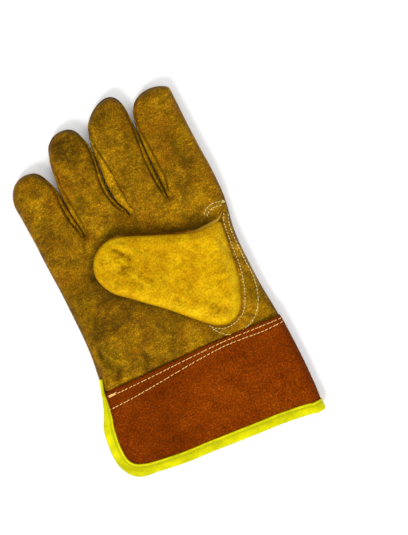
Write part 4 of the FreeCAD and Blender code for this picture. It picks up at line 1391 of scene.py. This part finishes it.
def leather_material():
    """Golden brown grain leather, soft and matt, mottled where the dye took unevenly and where hands darkened it, with
    painted shade at its edges, in its creases and round the thumb, and painted highlight on its fold ridges.
    """
    k = Mat("hand_leather")
    r, g, b = k.tint()
    broad = k.noise(34, 3, 0.55)
    mid = k.noise(9, 4, 0.6, 0.4)
    fine = k.noise(2.2, 3, 0.65)
    pores = k.cells(1.05)
    f = k.math("ADD", k.math("MULTIPLY", broad, 0.46), k.math("ADD", k.math("MULTIPLY", mid, 0.40), k.math("MULTIPLY", fine, 0.22)))
    base = k.ramp(f, [(0.36, lin(66, 42, 2)), (0.46, lin(100, 66, 2)), (0.53, lin(122, 84, 3)), (0.60, lin(139, 98, 4)), (0.70, lin(160, 116, 8))])
    # r: handling marks, with painted shade along the edges, in the creases and low between the fingers
    rr = k.math("MULTIPLY", r, k.remap(mid, 0.30, 0.62, 1.15, 0.55), True)
    base = k.mix(rr, base, lin(46, 29, 1))
    # b: painted shadow round the folded thumb and painted shade in the deep folds
    base = k.mix(k.math("MULTIPLY", b, 0.95), base, lin(30, 17, 0))
    # g: paler patches, with painted highlight on the fold ridges and the upper finger sides
    gg = k.math("MULTIPLY", g, k.remap(mid, 0.36, 0.66, 0.45, 1.1), True)
    base = k.mix(k.math("MULTIPLY", gg, 0.9), base, lin(186, 138, 9))
    speck = k.remap(k.cells(4.6), 0.05, 0.22, 1.0, 0.0)
    base = k.mix(k.math("MULTIPLY", speck, k.math("MULTIPLY", fine, 0.3)), base, lin(50, 31, 2))
    worn = k.remap(k.noise(4.5, 4, 0.7, 0.6), 0.58, 0.76, 0.0, 0.5)
    base = k.mix(worn, base, lin(160, 114, 6))
    base = k.mix(k.remap(k.noise(34, 3, 0.6, 0.5), 0.48, 0.66, 0.0, 0.62), base, lin(112, 66, 1))
    base = k.mix(k.remap(k.noise(27, 3, 0.6, 0.9), 0.52, 0.68, 0.0, 0.50), base, lin(88, 68, 0))
    grain = k.math("MULTIPLY", k.remap(k.cells(1.15), 0.12, 0.62, 1.27, 0.68), k.remap(k.noise(1.0, 2, 0.6, 0.3), 0.32, 0.68, 0.74, 1.27))
    grain = k.math("MULTIPLY", grain, k.remap(k.noise(2.8, 3, 0.62, 0.9, k.scale(0.42, 1.5, 1.0)), 0.34, 0.66, 0.82, 1.17))
    grain = k.math("MULTIPLY", grain, k.remap(k.noise(7.5, 4, 0.62, 0.7), 0.34, 0.66, 0.83, 1.15))
    base = k.times(base, grain)
    h = k.math("ADD", k.math("MULTIPLY", pores, 0.55), k.math("ADD", k.math("MULTIPLY", fine, 0.8), k.math("MULTIPLY", k.noise(5.2, 3, 0.6, 0.8), 1.7)))
    rough = k.remap(mid, 0.3, 0.7, 0.62, 0.80)
    return k.finish(base, rough, h, 0.55, 0.55, Specular_IOR_Level=0.34, Specular_Tint=lin(255, 205, 70))


def yellow_material():
    """Yellow split leather on the thumb, with brown handling marks and painted shade in its folds, painted shade at its
    rim and painted light along its lower edge and fold ridges.
    """
    k = Mat("thumb_yellow_suede")
    r, g, b = k.tint()
    mid = k.noise(11, 4, 0.6, 0.3)
    fine = k.noise(1.6, 4, 0.7)
    nap = k.noise(0.7, 2, 0.6)
    f = k.math("ADD", k.math("MULTIPLY", mid, 0.62), k.math("MULTIPLY", fine, 0.40))
    base = k.ramp(f, [(0.36, lin(158, 112, 2)), (0.48, lin(174, 130, 3)), (0.58, lin(184, 143, 4)), (0.72, lin(198, 160, 8))])
    # b: brown handling marks, with painted shade in the fold creases
    bb = k.math("MULTIPLY", b, k.remap(k.noise(4.6, 4, 0.65, 0.8), 0.34, 0.60, 1.3, 0.30), True)
    base = k.mix(bb, base, lin(104, 68, 1))
    # g: painted light inside the lower edge and painted highlight on the fold ridges
    base = k.mix(k.math("MULTIPLY", g, 0.7), base, lin(206, 170, 12))
    # r: painted shade along the rim
    base = k.mix(r, base, lin(112, 78, 2))
    patch = k.remap(k.noise(7.5, 4, 0.7, 1.0), 0.60, 0.74, 0.0, 0.26)
    base = k.mix(patch, base, lin(146, 102, 2))
    base = k.times(base, k.math("MULTIPLY", k.remap(k.noise(1.2, 2, 0.6), 0.34, 0.66, 0.80, 1.20), k.remap(k.noise(6.5, 3, 0.6, 0.5), 0.34, 0.66, 0.93, 1.07)))
    h = k.math("ADD", k.math("MULTIPLY", fine, 0.9), k.math("ADD", k.math("MULTIPLY", nap, 0.5), k.math("MULTIPLY", k.noise(6, 3, 0.6, 0.6), 1.6)))
    return k.finish(base, k.remap(fine, 0.3, 0.7, 0.78, 0.90), h, 0.45, 0.45, Specular_IOR_Level=0.22, Specular_Tint=lin(255, 215, 80), Sheen_Weight=0.06, Sheen_Roughness=0.5, Sheen_Tint=lin(240, 200, 40))


def russet_material():
    """Russet suede of the cuff: fine nap, faintly streaked, deeper towards the hem, where painted shade lies above the
    tape.
    """
    k = Mat("cuff_russet_suede")
    r, g, b = k.tint()
    broad = k.noise(46, 2, 0.5)
    mid = k.noise(7, 4, 0.62, 0.3)
    nap = k.noise(0.9, 4, 0.7)
    streak = k.noise(6.0, 3, 0.6, 0.0, k.scale(0.35, 1.6, 1.0, 0.25))
    f = k.math("ADD", k.math("MULTIPLY", broad, 0.36), k.math("ADD", k.math("MULTIPLY", mid, 0.28), k.math("ADD", k.math("MULTIPLY", nap, 0.22), k.math("MULTIPLY", streak, 0.22))))
    base = k.ramp(f, [(0.38, lin(70, 22, 0)), (0.48, lin(94, 34, 0)), (0.56, lin(106, 41, 1)), (0.68, lin(124, 54, 3))])
    # r: painted shadow along the top edge and painted shade above the hem tape, darker along the fold, the slit and the
    # stitch rows
    base = k.mix(k.math("MULTIPLY", r, 0.9), base, lin(58, 18, 0))
    base = k.mix(k.math("MULTIPLY", g, 0.7), base, lin(132, 58, 3))
    base = k.times(base, k.math("MULTIPLY", k.remap(k.noise(1.1, 3, 0.7), 0.34, 0.66, 0.54, 1.46), k.remap(k.cells(2.2), 0.05, 0.55, 1.20, 0.84)))
    h = k.math("ADD", k.math("MULTIPLY", nap, 1.0), k.math("ADD", k.math("MULTIPLY", mid, 1.0), k.math("MULTIPLY", k.noise(0.45, 2, 0.6), 0.5)))
    return k.finish(base, k.remap(mid, 0.3, 0.7, 0.80, 0.92), h, 0.5, 0.35, Specular_IOR_Level=0.2, Specular_Tint=lin(255, 150, 60), Sheen_Weight=0.08, Sheen_Roughness=0.45, Sheen_Tint=lin(200, 90, 30))


def tape_material():
    """Woven high-visibility binding: a fine rib across the tape."""
    k = Mat("binding_tape_woven")
    r, g, b = k.tint()
    w = k.new("ShaderNodeTexWave", wave_type="BANDS", bands_direction="X", wave_profile="SIN")
    w.inputs["Scale"].default_value = 1000.0 / 0.95 / 3.1
    w.inputs["Distortion"].default_value = 0.6
    w.inputs["Detail"].default_value = 1.0
    k.link(k.co, w.inputs["Vector"])
    w2 = k.new("ShaderNodeTexWave", wave_type="BANDS", bands_direction="Y", wave_profile="SIN")
    w2.inputs["Scale"].default_value = 1000.0 / 0.8 / 3.1
    w2.inputs["Distortion"].default_value = 0.6
    k.link(k.co, w2.inputs["Vector"])
    weave = k.math("MULTIPLY", w.outputs["Fac"], w2.outputs["Fac"])
    soil = k.noise(9, 4, 0.65, 0.4)
    base = k.ramp(soil, [(0.34, lin(176, 174, 1)), (0.5, lin(196, 193, 2)), (0.66, lin(212, 206, 6))])
    base = k.mix(k.math("MULTIPLY", k.math("SUBTRACT", 1.0, weave), 0.20), base, lin(150, 150, 1))
    # r: random soiling, the sewn groove and the folded rim, with painted shade in the corner crease
    base = k.mix(r, base, lin(120, 118, 1))
    h = k.math("ADD", weave, k.math("MULTIPLY", k.noise(1.4, 3, 0.6), 0.7))
    return k.finish(base, k.remap(soil, 0.3, 0.7, 0.55, 0.70), h, 0.5, 0.2, Specular_IOR_Level=0.3, Specular_Tint=lin(255, 245, 90))


def thread_material(name, dark, light):
    """Twisted sewing thread."""
    k = Mat(name)
    ply = k.noise(0.55, 2, 0.6, 0.5)
    soil = k.noise(5, 3, 0.6)
    base = k.ramp(k.math("ADD", k.math("MULTIPLY", ply, 0.5), k.math("MULTIPLY", soil, 0.5)), [(0.36, dark), (0.62, light)])
    return k.finish(base, k.remap(soil, 0.3, 0.7, 0.6, 0.75), ply, 0.4, 0.12, Specular_IOR_Level=0.3)


def lip_material():
    """The tan cut and rolled edge along the thumb, paler where the fibres show."""
    k = Mat("rolled_edge_leather")
    r, g, b = k.tint()
    mid = k.noise(4.5, 4, 0.65, 0.5)
    fine = k.noise(0.9, 3, 0.7)
    base = k.ramp(k.math("ADD", k.math("MULTIPLY", mid, 0.6), k.math("MULTIPLY", fine, 0.4)), [(0.36, lin(84, 50, 3)), (0.5, lin(118, 76, 8)), (0.64, lin(150, 104, 22))])
    base = k.mix(k.math("MULTIPLY", g, 0.8), base, lin(176, 138, 40))
    # r: painted shade on the middle stretch and on the lower fold
    base = k.mix(k.math("MULTIPLY", r, 0.9), base, lin(62, 34, 2))
    h = k.math("ADD", k.math("MULTIPLY", fine, 0.8), k.math("MULTIPLY", mid, 1.2))
    return k.finish(base, k.remap(mid, 0.3, 0.7, 0.76, 0.88), h, 0.5, 0.35, Specular_IOR_Level=0.15, Specular_Tint=lin(255, 190, 80))


def raw_material():
    """Raw leather edge: yellow-green fibres of a split hide."""
    k = Mat("raw_edge_leather")
    r, g, b = k.tint()
    mid = k.noise(5, 4, 0.65, 0.5)
    fine = k.noise(0.6, 3, 0.7)
    base = k.ramp(k.math("ADD", k.math("MULTIPLY", mid, 0.5), k.math("MULTIPLY", fine, 0.5)), [(0.36, lin(140, 128, 20)), (0.5, lin(172, 160, 44)), (0.64, lin(196, 184, 78))])
    base = k.mix(r, base, lin(104, 84, 14))
    return k.finish(base, k.remap(mid, 0.3, 0.7, 0.8, 0.92), fine, 0.6, 0.3, Specular_IOR_Level=0.2)


MATS = {
    "hand": leather_material(), "yellow": yellow_material(), "russet": russet_material(), "tape": tape_material(),
    "lip": lip_material(), "raw": raw_material(),
    "cream": thread_material("thread_cream_twist", lin(156, 140, 74), lin(212, 200, 136)),
    "pink": thread_material("thread_cuff_twist", lin(194, 134, 66), lin(234, 190, 116)),
    "lime": thread_material("thread_lime_twist", lin(140, 138, 2), lin(182, 178, 10)),
}
for ob in list(bpy.data.objects):
    if ob.type == "MESH" and "look" in ob:
        ob.data.materials.clear()
        ob.data.materials.append(MATS[ob["look"]])

# ---------------------------------------------------------------- floor, light, camera
def floor():
    me = bpy.data.meshes.new("floor")
    s = 3.0
    me.from_pydata([(-s, -s, 0), (s, -s, 0), (s, s, 0), (-s, s, 0)], [], [(0, 1, 2, 3)])
    ob = bpy.data.objects.new("floor", me)
    collection.objects.link(ob)
    k = Mat("floor_paper")
    n = k.noise(60, 2, 0.5)
    c = k.mix(n, (0.86, 0.86, 0.86, 1), (0.88, 0.88, 0.88, 1))
    me.materials.append(k.finish(c, k.remap(n, 0.3, 0.7, 0.85, 0.92), Specular_IOR_Level=0.2))
    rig.stage(ob)
    return ob


floor()


CENTRE = Vector((40.46 * MM, -5.76 * MM, 0))
UP = Vector((0.427, 0.904, 0)).normalized()
RIGHT = Vector((UP.y, -UP.x, 0))


def sun(name, towards, angle, strength, colour):
    li = bpy.data.lights.new(name, "SUN")
    li.energy = strength
    li.angle = math.radians(angle)
    li.color = colour
    ob = bpy.data.objects.new(name, li)
    collection.objects.link(ob)
    ob.location = towards * 1.5
    ob.rotation_euler = towards.to_track_quat("Z", "Y").to_euler()
    return ob


sun("key", (-UP * 0.95 - RIGHT * 0.25 + Vector((0, 0, 0.85))).normalized(), 26, 3.1, (1.0, 0.985, 0.96))
sun("fill", (UP * 0.3 + RIGHT * 0.4 + Vector((0, 0, 1.0))).normalized(), 70, 1.45, (0.97, 0.985, 1.0))
world = bpy.data.worlds.new("studio")
world.use_nodes = True
world.node_tree.nodes["Background"].inputs[0].default_value = (1, 1, 1, 1)
world.node_tree.nodes["Background"].inputs[1].default_value = 0.60
bpy.context.scene.world = world

cam = bpy.data.cameras.new("camera")
cam.lens = 100
cam.sensor_width = 36
cam_ob = bpy.data.objects.new("camera", cam)
collection.objects.link(cam_ob)
cam_ob.location = CENTRE + Vector((0, 0, 1.074))
z = Vector((0, 0, 1))
from mathutils import Matrix
cam_ob.rotation_euler = Matrix((RIGHT, UP, z)).transposed().to_euler()
bpy.context.scene.camera = cam_ob
bpy.context.scene.view_settings.view_transform = "Standard"
bpy.context.scene.view_settings.look = "None"
bpy.context.scene.view_settings.exposure = 0.0

# ---------------------------------------------------------------- sizes
bpy.context.view_layer.update()
visual_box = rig.bounds()
with open("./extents.json", "w") as fh:
    json.dump({"cad": [[float(c) for c in v] for v in cad_box], "visual": [[float(c) for c in v] for v in visual_box]}, fh)
